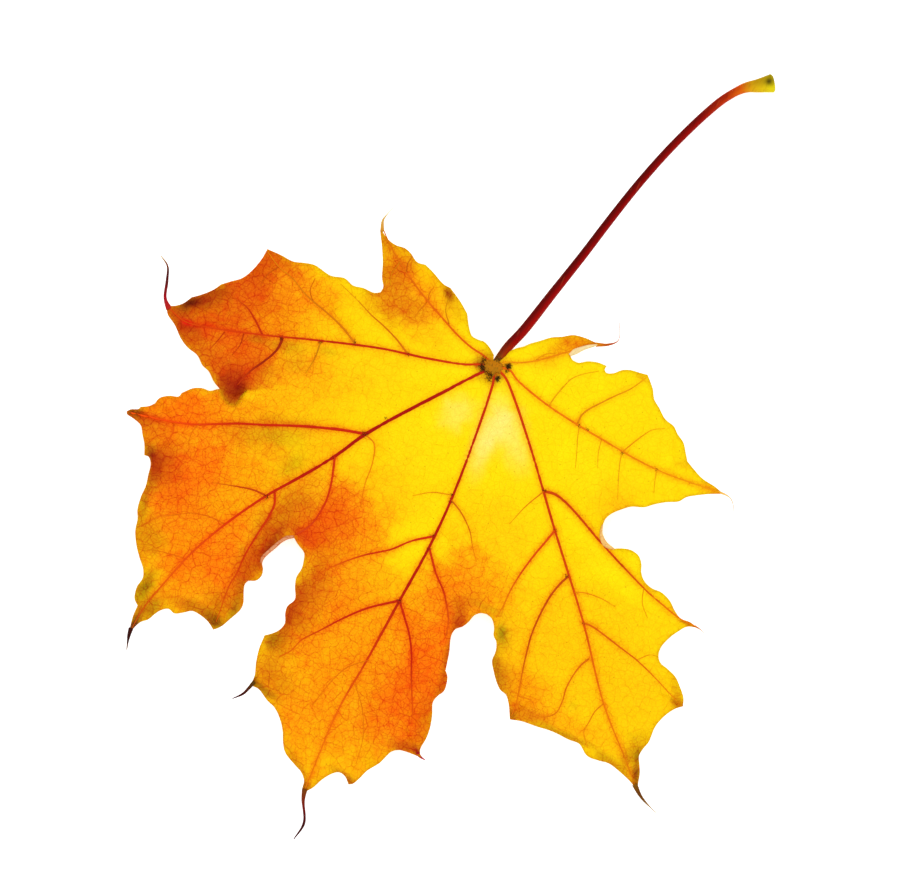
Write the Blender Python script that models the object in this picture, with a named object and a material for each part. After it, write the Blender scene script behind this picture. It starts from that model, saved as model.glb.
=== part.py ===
"""A fallen autumn leaf of a Norway maple, lying face up: blade, ribs and stalk grew as one piece.

The flat layout below is in millimetres, with the point where the stalk meets the blade at (0, 0),
the middle lobe along -Y and the stalk along +Y. The finished solid is in metres, +Z up, with
its origin at the middle of its box on the surface that it rests on.
"""
import bmesh
import bpy
import numpy as np
from mathutils.geometry import delaunay_2d_cdt

MM = 0.001

BLADE_THICKNESS = 0.3
RIB_DEPTH = 0.9          # how far a main rib stands under the blade at the junction
RIB_HALF_WIDTH = 0.75
RIB_FADE = 60.0          # distance from the junction in which its depth falls to a third
DOME_HEIGHT = 8.5        # the junction above the lobe tips
DOME_RADIUS = 62.0
PLEAT_HEIGHT = 1.4       # the blade bulges up between the ribs
PLEAT_WIDTH = 7.0
WAVE_HEIGHT = 0.8        # waves along the margin
WAVE_LENGTH = 19.0
WAVE_REACH = 5.0
TIP_REACH = 13.0         # how far from a tip its own height takes hold

STALK_RADIUS = 0.98
STALK_FOOT_HALF_WIDTH = 2.1
STALK_FOOT_HALF_HEIGHT = 1.3
KNOB_SIZE = (2.6, 2.4, 1.3)

OUTLINE_STEP = 1.9       # spacing of points along the margin
SHEET_STEP = 3.6         # and inside the blade
WAVE_STEP = 0.5          # the waves are measured along a finer margin
GROUND = -0.3            # the surface that the leaf rests on

# Each lobe goes out from the sinus before it to its tip, and back to the next sinus. A margin is
# a list of smooth stretches, each from the corner where the one before it ended to its own.
LOBES = {
    "stalk_left": {
        "out": [
            [(-0.9, 2.4), (-2.2, 3.4), (-3.9, 4.2), (-5.6, 4.1), (-7.0, 4.3), (-8.3, 5.7), (-9.9, 8.3)],
            [(-12.3, 10.1), (-15.6, 12.0)],
            [(-17.2, 12.1), (-20.5, 13.6), (-22.6, 14.4)],
            [(-24.6, 14.2), (-26.6, 15.4), (-28.3, 15.9), (-30.2, 15.7), (-32.2, 16.1), (-34.1, 17.2),
             (-35.0, 18.4)],
        ],
        "back": [
            [(-34.6, 16.9), (-33.2, 14.5), (-31.4, 11.0), (-30.2, 7.9), (-29.1, 6.1), (-29.2, 4.9)],
        ],
    },
    "side_left": {
        "out": [
            [(-30.4, 4.2), (-33.0, 4.2), (-35.3, 3.8), (-37.6, 4.5), (-40.7, 3.8), (-44.9, 4.5),
             (-47.2, 4.0), (-49.5, 3.3), (-52.5, 3.5), (-55.8, 3.5)],
            [(-56.1, 0.8), (-57.0, -2.2), (-58.3, -4.6), (-60.3, -6.3), (-61.9, -7.7)],
            [(-62.9, -9.4), (-65.2, -11.8), (-66.6, -12.9)],
            [(-67.9, -15.0), (-69.2, -16.1), (-71.0, -16.9)],
        ],
        "back": [
            [(-70.0, -18.5), (-67.5, -20.1), (-65.3, -22.1), (-63.0, -23.4), (-60.4, -24.1),
             (-58.4, -25.7), (-56.7, -26.3), (-54.6, -28.0), (-52.8, -28.9), (-51.3, -30.1),
             (-49.7, -30.8), (-48.2, -30.5)],
            [(-48.0, -28.4), (-47.3, -26.5)],
        ],
    },
    "wide_left": {
        "out": [
            [(-50.3, -27.8), (-53.2, -29.0), (-54.7, -30.1), (-56.3, -30.2), (-58.2, -31.0), (-60.1, -33.0)],
            [(-60.4, -34.0), (-62.4, -34.7), (-64.2, -36.1), (-64.6, -37.5)],
            [(-65.6, -38.6), (-67.2, -39.5)],
            [(-67.4, -40.1), (-69.0, -40.9), (-69.6, -41.7)],
            [(-69.3, -42.2), (-67.6, -42.5), (-65.5, -43.2), (-64.3, -44.9), (-63.1, -46.6), (-62.1, -48.9)],
            [(-61.1, -48.8), (-60.1, -50.0), (-59.6, -52.5), (-59.1, -54.8), (-59.1, -57.5),
             (-58.6, -60.5), (-57.8, -62.2), (-57.2, -64.8), (-55.8, -67.5), (-53.8, -70.1),
             (-52.2, -71.9), (-51.5, -73.7), (-51.9, -76.0), (-51.3, -78.6), (-50.1, -79.7)],
            [(-50.1, -82.0), (-49.7, -84.5), (-49.3, -86.3)],
        ],
        "back": [
            [(-48.9, -84.8), (-48.0, -82.8), (-46.7, -81.6), (-45.8, -79.8), (-44.9, -78.5),
             (-43.5, -77.6), (-42.0, -78.0), (-40.2, -77.0), (-38.6, -75.9), (-36.6, -76.0),
             (-34.4, -76.7), (-32.7, -77.8)],
            [(-31.5, -76.6), (-30.1, -73.8), (-29.0, -71.3), (-29.0, -69.7), (-29.9, -67.5),
             (-30.4, -65.8), (-30.0, -64.8)],
            [(-28.4, -64.0), (-27.8, -62.6), (-28.1, -61.1), (-28.8, -60.0), (-28.8, -59.0),
             (-28.3, -57.6), (-27.4, -55.8), (-26.8, -54.4), (-25.8, -53.0), (-24.6, -52.1)],
        ],
    },
    "middle": {
        "out": [
            [(-23.4, -53.0), (-21.3, -54.2), (-20.7, -55.8), (-20.4, -57.6), (-20.7, -59.8),
             (-20.1, -61.8), (-19.0, -64.3), (-19.9, -66.4), (-19.7, -68.0), (-18.9, -70.0),
             (-19.3, -71.7), (-20.5, -73.2), (-21.9, -74.3)],
            [(-21.8, -77.5), (-21.2, -80.5), (-20.3, -83.3), (-20.3, -85.7)],
            [(-19.4, -85.6), (-18.2, -85.7), (-15.6, -87.2), (-13.6, -87.9), (-11.8, -89.3),
             (-9.9, -91.6), (-8.6, -94.2), (-7.3, -96.0), (-4.2, -97.7), (-2.4, -98.5),
             (-1.0, -100.0), (-0.6, -101.8), (0.0, -102.9)],
        ],
        "back": [
            [(0.5, -101.9), (1.5, -100.6), (2.4, -98.5), (3.6, -96.6), (5.2, -95.2), (6.8, -95.4),
             (8.3, -96.8)],
            [(9.1, -96.3), (10.0, -94.5), (10.8, -92.4), (12.6, -89.7), (13.2, -88.2), (14.0, -86.3),
             (15.4, -85.3), (17.5, -85.0), (20.4, -84.9)],
            [(19.6, -83.4), (19.8, -80.5), (19.6, -78.0), (18.9, -75.3), (17.9, -72.7), (18.3, -70.9),
             (19.1, -69.5), (18.9, -67.3), (18.4, -66.0), (17.6, -65.2)],
            [(17.2, -63.3), (16.6, -60.8), (15.9, -58.8), (15.6, -57.3), (15.9, -55.9), (17.0, -54.9),
             (17.9, -53.3), (18.4, -51.6), (19.5, -50.5), (20.9, -50.2)],
        ],
    },
    "wide_right": {
        "out": [
            [(22.3, -50.7), (23.5, -52.3), (24.1, -53.9), (25.2, -54.9), (25.9, -56.8), (26.0, -59.0),
             (27.2, -60.9), (29.0, -63.1), (30.3, -64.2), (31.9, -64.7), (33.2, -66.2), (34.9, -69.3)],
            [(37.5, -68.6), (41.0, -68.3), (44.5, -67.9), (48.5, -68.1), (51.0, -68.0), (53.6, -69.7),
             (56.5, -69.6), (58.7, -69.3), (62.3, -70.2), (65.2, -71.3), (67.0, -72.4)],
        ],
        "back": [
            [(66.4, -70.6), (65.8, -68.4), (64.9, -66.6), (64.1, -65.0), (64.3, -63.2), (64.8, -61.4),
             (64.7, -58.0), (65.3, -55.6), (66.2, -53.7), (67.4, -52.1), (68.5, -51.2)],
            [(67.8, -49.4), (65.7, -47.1), (64.3, -45.9), (62.0, -45.0), (60.0, -44.4), (59.0, -43.1),
             (58.8, -41.3), (59.6, -38.7), (60.8, -36.6), (62.2, -34.8), (64.4, -34.1)],
            [(62.4, -33.6), (60.2, -33.7), (58.3, -32.7), (56.5, -31.2), (54.0, -30.2), (51.5, -30.2),
             (49.4, -29.4), (48.0, -27.9), (47.4, -26.4), (46.1, -24.9), (44.0, -24.4), (42.0, -24.9),
             (40.6, -25.6)],
            [(38.5, -25.0), (36.9, -23.7), (36.1, -21.8)],
        ],
    },
    "side_right": {
        "out": [
            [(36.1, -20.4), (36.9, -18.8), (38.3, -17.3), (40.2, -15.7), (42.8, -14.7), (44.6, -13.2),
             (46.8, -11.7), (49.3, -10.4), (50.4, -8.9), (52.0, -7.8), (54.6, -6.3), (57.6, -4.9)],
        ],
        "back": [
            [(55.2, -4.2), (52.0, -3.7), (49.4, -2.6), (47.4, -1.6)],
            [(46.4, -0.2), (44.9, 1.8), (43.0, 3.0), (41.6, 4.2), (39.2, 4.9), (37.0, 6.6), (35.2, 7.9),
             (34.1, 9.7), (33.3, 10.6), (31.7, 12.2)],
            [(29.8, 11.9), (27.8, 11.6), (26.2, 10.9), (24.6, 9.4), (23.2, 8.9), (22.6, 9.4), (22.7, 10.3)],
            [(20.5, 10.2), (18.4, 9.5), (16.7, 8.4), (15.4, 8.4)],
        ],
    },
    "stalk_right": {
        "out": [
            [(14.6, 9.0), (15.7, 10.1), (16.7, 11.4), (17.9, 12.5), (19.6, 14.1)],
        ],
        "back": [
            [(18.0, 14.0), (16.0, 14.0), (13.2, 13.5), (11.2, 12.2), (9.1, 11.1), (7.0, 9.3), (5.3, 7.9),
             (4.3, 6.8), (2.9, 5.7), (2.0, 4.6), (1.5, 3.1)],
        ],
    },
}

# Near the junction a seam between two lobes bends at this point, which keeps it clear of their ribs.
SEAM_BENDS = {
    "side_left": (-4.5, 0.2), "wide_left": (-3.6, -2.2), "middle": (-0.7, -4.0),
    "wide_right": (2.6, -2.6), "side_right": (4.2, -0.6), "stalk_right": (4.2, 1.9),
}

# the seven main ribs, from the junction to the lobe tips
RIBS = {
    "stalk_left": [(0, 0), (-2.6, 1.3), (-6, 1.9), (-10, 3.2), (-14, 5.0), (-18.5, 7.1), (-23, 9.5),
                   (-30, 14), (-35.0, 18.4)],
    "side_left": [(0, 0), (-3, -0.8), (-6, -2.1), (-14, -4.2), (-24, -6.3), (-38, -10.5),
                  (-49.5, -14.3), (-62.4, -17.9), (-66, -18.4), (-71.0, -16.9)],
    "wide_left": [(0, 0), (-3, -3.6), (-7, -8.6), (-19.5, -24.8), (-23.7, -32), (-29, -39.5),
                  (-34.1, -46.3), (-39.8, -55.7), (-44, -64.5), (-46.5, -72), (-48.7, -80), (-49.3, -86.3)],
    "middle": [(0, 0), (1.2, -2.4), (1.8, -6), (3.4, -28.1), (3.3, -41.4), (2.1, -55.5), (0.8, -71),
               (-0.4, -82.5), (0, -102.9)],
    "wide_right": [(0, 0), (3.1, -0.9), (6, -3.4), (15, -13.2), (27, -27.3), (41, -43.3),
                   (52.3, -57.7), (62, -67.3), (67.0, -72.4)],
    "side_right": [(0, 0), (3.6, 0.8), (6, -0.5), (14.7, -2.9), (28, -4.8), (42, -6), (57.6, -4.9)],
    "stalk_right": [(0, 0), (2.6, 2.2), (5, 3.2), (8, 5), (13.7, 9.7), (19.6, 14.1)],
}

# heights that the tips and the larger teeth hold, above the surface
TIP_HEIGHTS = [
    ((-35.0, 18.4), 8.5), ((-55.8, 3.5), 4.4), ((-71.0, -16.9), 4.6), ((-69.6, -41.7), 2.6),
    ((-49.3, -86.3), 0.2), ((-32.7, -77.8), 1.8), ((-20.3, -85.7), 0.8), ((0.0, -102.9), 0.2),
    ((20.4, -84.9), 1.6), ((34.9, -69.3), 1.1), ((67.0, -72.4), 0.2), ((68.5, -51.2), 2.3),
    ((64.4, -34.1), 3.4), ((57.6, -4.9), 4.4), ((31.7, 12.2), 6.0), ((19.6, 14.1), 9.0),
]

# One tooth of the left side lobe lies over the wide left lobe.
LAPPED_TOOTH = (-49.5, -29.5)
LAP_REACH = 4.5
LAP_RISE = {"side_left": 0.9, "wide_left": -0.5}

# the bristles that the tips end in: points, with the height above the blade's tip, and half width
BRISTLES = [
    ([(-34.3, 17.2, 0), (-35.1, 19.5, 0.6), (-34.8, 21.0, 1.4), (-33.8, 24.0, 2.4)], 0.35),
    ([(-70.2, -17.3, 0), (-71.9, -15.5, 0.5), (-73.1, -11.7, 1.4), (-74.3, -8.8, 1.9),
      (-76.5, -7.4, 2.1)], 0.5),
    ([(-49.4, -84.8, 0.1), (-49.1, -86.8, 0.1), (-48.3, -89.6, 0.6)], 0.4),
    ([(-19.8, -84.6, 0), (-20.4, -86.5, 0.1), (-21.0, -88.0, 0.4), (-22.7, -89.9, 0.9)], 0.35),
    ([(-0.1, -101.6, 0.1), (0.6, -104.0, 0.1), (2.8, -108.5, 0.7), (2.2, -112.7, 1.6)], 0.45),
    ([(65.8, -71.2, 0.1), (68.0, -73.0, 0.1), (70.0, -74.0, 0.4), (72.8, -75.0, 1.0)], 0.4),
    ([(56.2, -4.9, 0), (59.2, -5.1, 0.4), (60.8, -6.8, 0.9), (61.4, -9.3, 1.2)], 0.3),
    ([(18.6, 13.6, 0), (21.1, 14.7, 0.3), (22.7, 16.4, 0.8), (21.4, 20.1, 1.8)], 0.35),
]
BRISTLE_END_SHARE = 0.35

STALK_PATH = [(0.4, 1.2), (1.1, 5.0), (2.8, 10.0), (5.35, 20.0), (8.05, 30.5), (10.3, 40.0), (12.9, 50.0),
              (16.1, 60.0), (20.1, 70.0), (22.7, 75.0), (25.6, 78.6), (28.3, 80.4), (30.6, 82.0)]
STALK_SAG = 1.3          # above 1, the stalk falls sooner and runs out flatter
STALK_TOP_DROP = 1.0     # its centre under the blade at the junction


def smooth(points, step):
    """A curve through the points (cubic pieces that share their slopes), read about every step."""
    p = np.array(points, float)
    length = np.linalg.norm(np.diff(p, axis=0), axis=1)
    ends = np.concatenate([[0], np.cumsum(length)])
    along = np.linspace(0, ends[-1], max(1, int(np.ceil(ends[-1] / step))) + 1)
    if len(p) == 2:
        return p[0] + (p[1] - p[0]) * (along / ends[-1])[:, None]
    knot = np.concatenate([[0], np.cumsum(np.sqrt(length))])
    slope = np.gradient(p, knot, axis=0)
    i = np.clip(np.searchsorted(ends, along, "right") - 1, 0, len(p) - 2)
    f = ((along - ends[i]) / length[i])[:, None]
    span = (knot[i + 1] - knot[i])[:, None]
    return (
        (2 * f**3 - 3 * f**2 + 1) * p[i] + (f**3 - 2 * f**2 + f) * span * slope[i]
        + (3 * f**2 - 2 * f**3) * p[i + 1] + (f**3 - f**2) * span * slope[i + 1]
    )


def joined(stretches, start, step):
    """The stretches one after another from start, without repeating the corners, and the last point."""
    curve = []
    for stretch in stretches:
        through = stretch if start is None else [start] + stretch
        curve.append(smooth(through, step)[0 if start is None else 1:])
        start = stretch[-1]
    return np.vstack(curve), start


def nearest(points, samples):
    """For each point, its distance from the nearest sample and which one that is."""
    gap = np.hypot(*(points[:, None, :2] - samples[None, :, :2]).transpose(2, 0, 1))
    return gap.min(axis=1), gap.argmin(axis=1)


def lobe_margins(step):
    """Each lobe's margin as points about a step apart, from the sinus before it to the one after it."""
    margins, start = {}, None
    for name, lobe in LOBES.items():
        first = start
        out, start = joined(lobe["out"], start, step)
        back, start = joined(lobe["back"], start, step)
        margins[name] = np.vstack([out, back] if first is None else [[first], out, back])
    return margins


MARGINS = lobe_margins(OUTLINE_STEP)
WHOLE_MARGIN = np.vstack(list(lobe_margins(WAVE_STEP).values()))
MARGIN_LENGTH = np.concatenate([[0], np.cumsum(np.linalg.norm(np.diff(WHOLE_MARGIN, axis=0), axis=1))])
RIB_SAMPLES = np.vstack([smooth(rib, 1.0) for rib in RIBS.values()])


def sheet_height(points):
    """Dome, plus pleats that rise away from the ribs, plus waves that fade away from the margin."""
    to_rib = nearest(points, RIB_SAMPLES)[0]
    to_margin, sample = nearest(points, WHOLE_MARGIN)
    free = 1 - np.exp(-((to_rib / PLEAT_WIDTH) ** 2))
    radius = np.hypot(points[:, 0], points[:, 1])
    dome = DOME_HEIGHT * np.exp(-((radius / DOME_RADIUS) ** 2))
    wave = np.sin(2 * np.pi * MARGIN_LENGTH[sample] / WAVE_LENGTH)
    return dome + free * (PLEAT_HEIGHT + WAVE_HEIGHT * wave * np.exp(-((to_margin / WAVE_REACH) ** 2)))


TIP_POINTS = np.array([point for point, _ in TIP_HEIGHTS])
TIP_OFFSETS = np.array([height for _, height in TIP_HEIGHTS]) - sheet_height(TIP_POINTS)


def height(points, lobe=None):
    """The blade's middle surface: the sheet, brought to the tips' own heights near each of them."""
    gaps = np.hypot(*(points[:, None, :2] - TIP_POINTS[None]).transpose(2, 0, 1))
    lift = (TIP_OFFSETS * np.exp(-((gaps / TIP_REACH) ** 2))).sum(axis=1)
    lapped = np.hypot(points[:, 0] - LAPPED_TOOTH[0], points[:, 1] - LAPPED_TOOTH[1])
    lap = LAP_RISE.get(lobe, 0) * np.exp(-((lapped / LAP_REACH) ** 2))
    return sheet_height(points) + lift + lap


def inside(points, loop):
    """Whether each point is in the closed loop: a line to its right crosses the loop an odd number of times."""
    a, b = loop, np.roll(loop, -1, axis=0)
    x, y = points[:, 0:1], points[:, 1:2]
    spans = (a[:, 1] > y) != (b[:, 1] > y)
    rise = np.where(b[:, 1] == a[:, 1], 1, b[:, 1] - a[:, 1])
    crossing = a[:, 0] + (y - a[:, 1]) * (b[:, 0] - a[:, 0]) / rise
    return (spans & (x < crossing)).sum(axis=1) % 2 == 1


def filling(loop, rib):
    """Points beside the rib, and a triangular lattice over the rest of the loop, clear of its edge."""
    along = np.gradient(rib, axis=0)
    across = np.stack([-along[:, 1], along[:, 0]], axis=1) / np.linalg.norm(along, axis=1)[:, None]
    beside = np.vstack([rib + RIB_HALF_WIDTH * across, rib - RIB_HALF_WIDTH * across])
    low, high = loop.min(axis=0), loop.max(axis=0)
    row = SHEET_STEP * np.sqrt(0.75)
    x, y = np.meshgrid(np.arange(low[0], high[0], SHEET_STEP), np.arange(low[1], high[1], row))
    x[1::2] += SHEET_STEP / 2
    lattice = np.stack([x.ravel(), y.ravel()], axis=1)
    beside = beside[inside(beside, loop) & (nearest(beside, loop)[0] > RIB_HALF_WIDTH)]
    lattice = lattice[inside(lattice, loop)]
    fixed = np.vstack([loop, rib, beside])
    return np.vstack([beside, lattice[nearest(lattice, fixed)[0] > SHEET_STEP * 0.55]])


def seam(lobe, sinus):
    """The line from the junction to the sinus before a lobe, or to the leaf's base where there is none."""
    stops = [(0, 0), *([SEAM_BENDS[lobe]] if lobe in SEAM_BENDS else []), tuple(sinus)]
    runs = [smooth([start, end], SHEET_STEP)[:-1] for start, end in zip(stops, stops[1:])]
    return np.vstack([*runs, [sinus]])


def lobe_sheet(name, after):
    """One lobe's flat triangles, from the junction out: points, faces, and which points neighbours share."""
    margin = MARGINS[name]
    to_start, to_end = seam(name, margin[0]), seam(after, margin[-1])
    loop = np.vstack([to_start[:-1], margin, to_end[-2:0:-1]])
    rib = smooth(RIBS[name], SHEET_STEP)[1:-1]
    inner = filling(loop, rib)
    tip = int(nearest(np.array([RIBS[name][-1]], float), loop)[1][0])
    flat = np.vstack([loop, rib, inner])
    spine = [0, *range(len(loop), len(loop) + len(rib)), tip]
    found = delaunay_2d_cdt(
        [tuple(p) for p in flat], list(zip(spine, spine[1:])), [list(range(len(loop)))], 1, 1e-4
    )
    points = np.array([tuple(p) for p in found[0]])
    to_lines = np.minimum(nearest(points, to_start)[0], nearest(points, to_end)[0])
    return points, np.array(found[2]), to_lines < 1e-3


def sewn_sheet():
    """The lobes' sheets sewn along the lines that they share: flat points, heights, upward triangles."""
    flat, owner, faces, heights = [], [], [], []
    names = list(LOBES)
    for number, (name, after) in enumerate(zip(names, names[1:] + [None]), 1):
        points, triangles, shared = lobe_sheet(name, after)
        faces.append(triangles + sum(len(p) for p in flat))
        flat.append(points)
        owner.append(np.where(shared, 0, number))
        heights.append(np.where(shared, height(points), height(points, name)))
    flat, owner, heights, faces = (np.concatenate(a) for a in (flat, owner, heights, faces))
    key = np.column_stack([np.round(flat, 3), owner])
    _, first, index = np.unique(key, axis=0, return_index=True, return_inverse=True)
    flat, heights, faces = flat[first], heights[first], index.reshape(-1)[faces]
    a, b, c = flat[faces[:, 0]], flat[faces[:, 1]], flat[faces[:, 2]]
    up = (b - a)[:, 0] * (c - a)[:, 1] - (b - a)[:, 1] * (c - a)[:, 0] > 0
    return flat, heights, np.where(up[:, None], faces, faces[:, ::-1])


def blade():
    """The sheet with its thickness, the ribs standing out below it, and a rim round its margin."""
    flat, heights, faces = sewn_sheet()
    to_rib, _ = nearest(flat, RIB_SAMPLES)
    reach = np.hypot(flat[:, 0], flat[:, 1])
    rib = RIB_DEPTH * np.clip(1 - to_rib / RIB_HALF_WIDTH, 0, 1) * np.exp(-reach / RIB_FADE)
    top = np.column_stack([flat, heights + BLADE_THICKNESS / 2])
    bottom = np.column_stack([flat, heights - BLADE_THICKNESS / 2 - rib])
    edges = np.concatenate([faces[:, [0, 1]], faces[:, [1, 2]], faces[:, [2, 0]]])
    _, at, count = np.unique(np.sort(edges, axis=1), axis=0, return_index=True, return_counts=True)
    rim = edges[at[count == 1]]
    n = len(flat)
    walls = np.column_stack([rim[:, 1], rim[:, 0], rim[:, 0] + n, rim[:, 1] + n])
    return np.vstack([top, bottom]), [*faces.tolist(), *(faces[:, ::-1] + n).tolist(), *walls.tolist()]


def sweep(path, half_width, half_height, sides):
    """An oval section carried along the path, closed at both ends."""
    along = np.gradient(path, axis=0)
    side = np.cross(along, (0, 0, 1))
    side /= np.linalg.norm(side, axis=1)[:, None]
    lift = np.cross(side, along)
    lift /= np.linalg.norm(lift, axis=1)[:, None]
    turn = np.arange(sides) * 2 * np.pi / sides
    rings = (
        path[:, None]
        + side[:, None] * (np.reshape(half_width, (-1, 1)) * np.cos(turn))[..., None]
        + lift[:, None] * (np.reshape(half_height, (-1, 1)) * np.sin(turn))[..., None]
    )
    i, j = np.meshgrid(np.arange(len(path) - 1), np.arange(sides), indexing="ij")
    k = (j + 1) % sides
    quads = np.stack([i * sides + j, i * sides + k, (i + 1) * sides + k, (i + 1) * sides + j], axis=-1)
    last = (len(path) - 1) * sides
    caps = [list(range(sides)), list(range(last, last + sides))]
    return rings.reshape(-1, 3), [*quads.reshape(-1, 4).tolist(), *caps]


def stalk():
    """The stalk falls from under the junction to the ground, and widens into its foot."""
    flat = smooth(STALK_PATH, 3.2)
    share = np.linspace(0, 1, len(flat))
    top = height(np.zeros((1, 2)))[0] - STALK_TOP_DROP
    foot = GROUND + STALK_FOOT_HALF_HEIGHT
    z = foot + (top - foot) * (1 - share) ** STALK_SAG
    flare = np.clip((share - 0.9) / 0.1, 0, 1) ** 1.5
    width = STALK_RADIUS + (STALK_FOOT_HALF_WIDTH - STALK_RADIUS) * flare
    thick = STALK_RADIUS + (STALK_FOOT_HALF_HEIGHT - STALK_RADIUS) * flare
    return sweep(np.column_stack([flat, z]), width, thick, 10)


def bristle(points, half_width):
    """A tip's bristle: a thread that thins towards its end."""
    rise = smooth(points, 1.2)
    base = height(np.array([points[0][:2]], float))[0]
    path = np.column_stack([rise[:, :2], rise[:, 2] + base])
    size = half_width * np.linspace(1, BRISTLE_END_SHARE, len(path))
    return sweep(path, size, size, 6)


def knob():
    """The swelling where the ribs and the stalk meet."""
    shape = bmesh.new()
    bmesh.ops.create_icosphere(shape, subdivisions=2, radius=1)
    points = np.array([tuple(v.co) for v in shape.verts]) * KNOB_SIZE
    faces = [[v.index for v in face.verts] for face in shape.faces]
    shape.free()
    points[:, 2] += height(np.zeros((1, 2)))[0] - BLADE_THICKNESS
    return points, faces


def new_object(name, points, faces, material):
    mesh = bpy.data.meshes.new(name)
    mesh.from_pydata((points * MM).tolist(), [], faces)
    shape = bmesh.new()
    shape.from_mesh(mesh)
    bmesh.ops.recalc_face_normals(shape, faces=shape.faces)
    shape.to_mesh(mesh)
    shape.free()
    mesh.materials.append(material)
    obj = bpy.data.objects.new(name, mesh)
    bpy.context.scene.collection.objects.link(obj)
    return obj


def leaf_material():
    material = bpy.data.materials.new("autumn_leaf")
    material.use_nodes = True
    shader = material.node_tree.nodes["Principled BSDF"]
    shader.inputs["Base Color"].default_value = (0.9, 0.48, 0.03, 1)
    shader.inputs["Roughness"].default_value = 0.55
    shader.inputs["Metallic"].default_value = 0.0
    return material


def main():
    for obj in list(bpy.data.objects):
        bpy.data.objects.remove(obj, do_unlink=True)
    pieces = {"maple_leaf": blade(), "knob": knob(), "stalk": stalk()}
    for number, (points, half_width) in enumerate(BRISTLES, 1):
        pieces[f"bristle_{number}"] = bristle(points, half_width)
    everything = np.vstack([points for points, _ in pieces.values()])
    low, high = everything.min(axis=0), everything.max(axis=0)
    origin = np.array([(low[0] + high[0]) / 2, (low[1] + high[1]) / 2, low[2]])
    material = leaf_material()
    leaf = None
    for name, (points, faces) in pieces.items():
        obj = new_object(name, points - origin, faces, material)
        if leaf is None:
            leaf = obj
            continue
        obj.hide_render = True
        obj.display_type = "WIRE"
        union = leaf.modifiers.new(name, "BOOLEAN")
        union.operation = "UNION"
        union.solver = "EXACT"
        union.object = obj
    leaf.data.shade_smooth()


main()
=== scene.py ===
"""The finished look of a fallen Norway maple leaf that lies face up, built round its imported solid.

Shapes are laid out in the flat leaf's own millimetres, as the solid's are: the point where the stalk
meets the blade is (0, 0), the middle lobe points along -Y and the stalk runs along +Y.
"""
import math
from functools import partial

import bmesh
import bpy
import numpy as np
from mathutils.geometry import delaunay_2d_cdt
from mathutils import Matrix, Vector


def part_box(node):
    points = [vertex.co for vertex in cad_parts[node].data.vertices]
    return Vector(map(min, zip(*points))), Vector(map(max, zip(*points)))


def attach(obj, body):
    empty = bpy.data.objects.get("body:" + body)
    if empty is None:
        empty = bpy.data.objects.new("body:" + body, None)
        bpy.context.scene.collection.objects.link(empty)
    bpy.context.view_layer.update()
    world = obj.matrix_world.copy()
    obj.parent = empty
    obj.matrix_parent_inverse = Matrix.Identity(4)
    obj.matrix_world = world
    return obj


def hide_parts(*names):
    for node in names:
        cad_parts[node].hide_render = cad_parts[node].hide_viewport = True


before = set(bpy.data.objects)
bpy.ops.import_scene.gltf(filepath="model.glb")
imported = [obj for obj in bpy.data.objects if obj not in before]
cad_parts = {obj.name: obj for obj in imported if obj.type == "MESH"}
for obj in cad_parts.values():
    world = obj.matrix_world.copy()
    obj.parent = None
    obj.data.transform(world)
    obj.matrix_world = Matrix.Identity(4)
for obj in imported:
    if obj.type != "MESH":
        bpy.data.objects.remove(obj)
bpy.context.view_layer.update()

# ---------------------------------------------------------------------------------------------
# The blade: a sheet of leaf tissue a fifth of a millimetre thick, waxy above and paler below.
# It grew flat in the bud's pleats and dried into a low dome with a waved, toothed margin.
# ---------------------------------------------------------------------------------------------
MM = 0.001
CORNER_TO_JUNCTION = (76.58, 112.74, 0.3)   # millimetres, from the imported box's low corner
low_corner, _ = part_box("maple_leaf")
JUNCTION = np.array(low_corner) + np.array(CORNER_TO_JUNCTION) * MM

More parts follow.
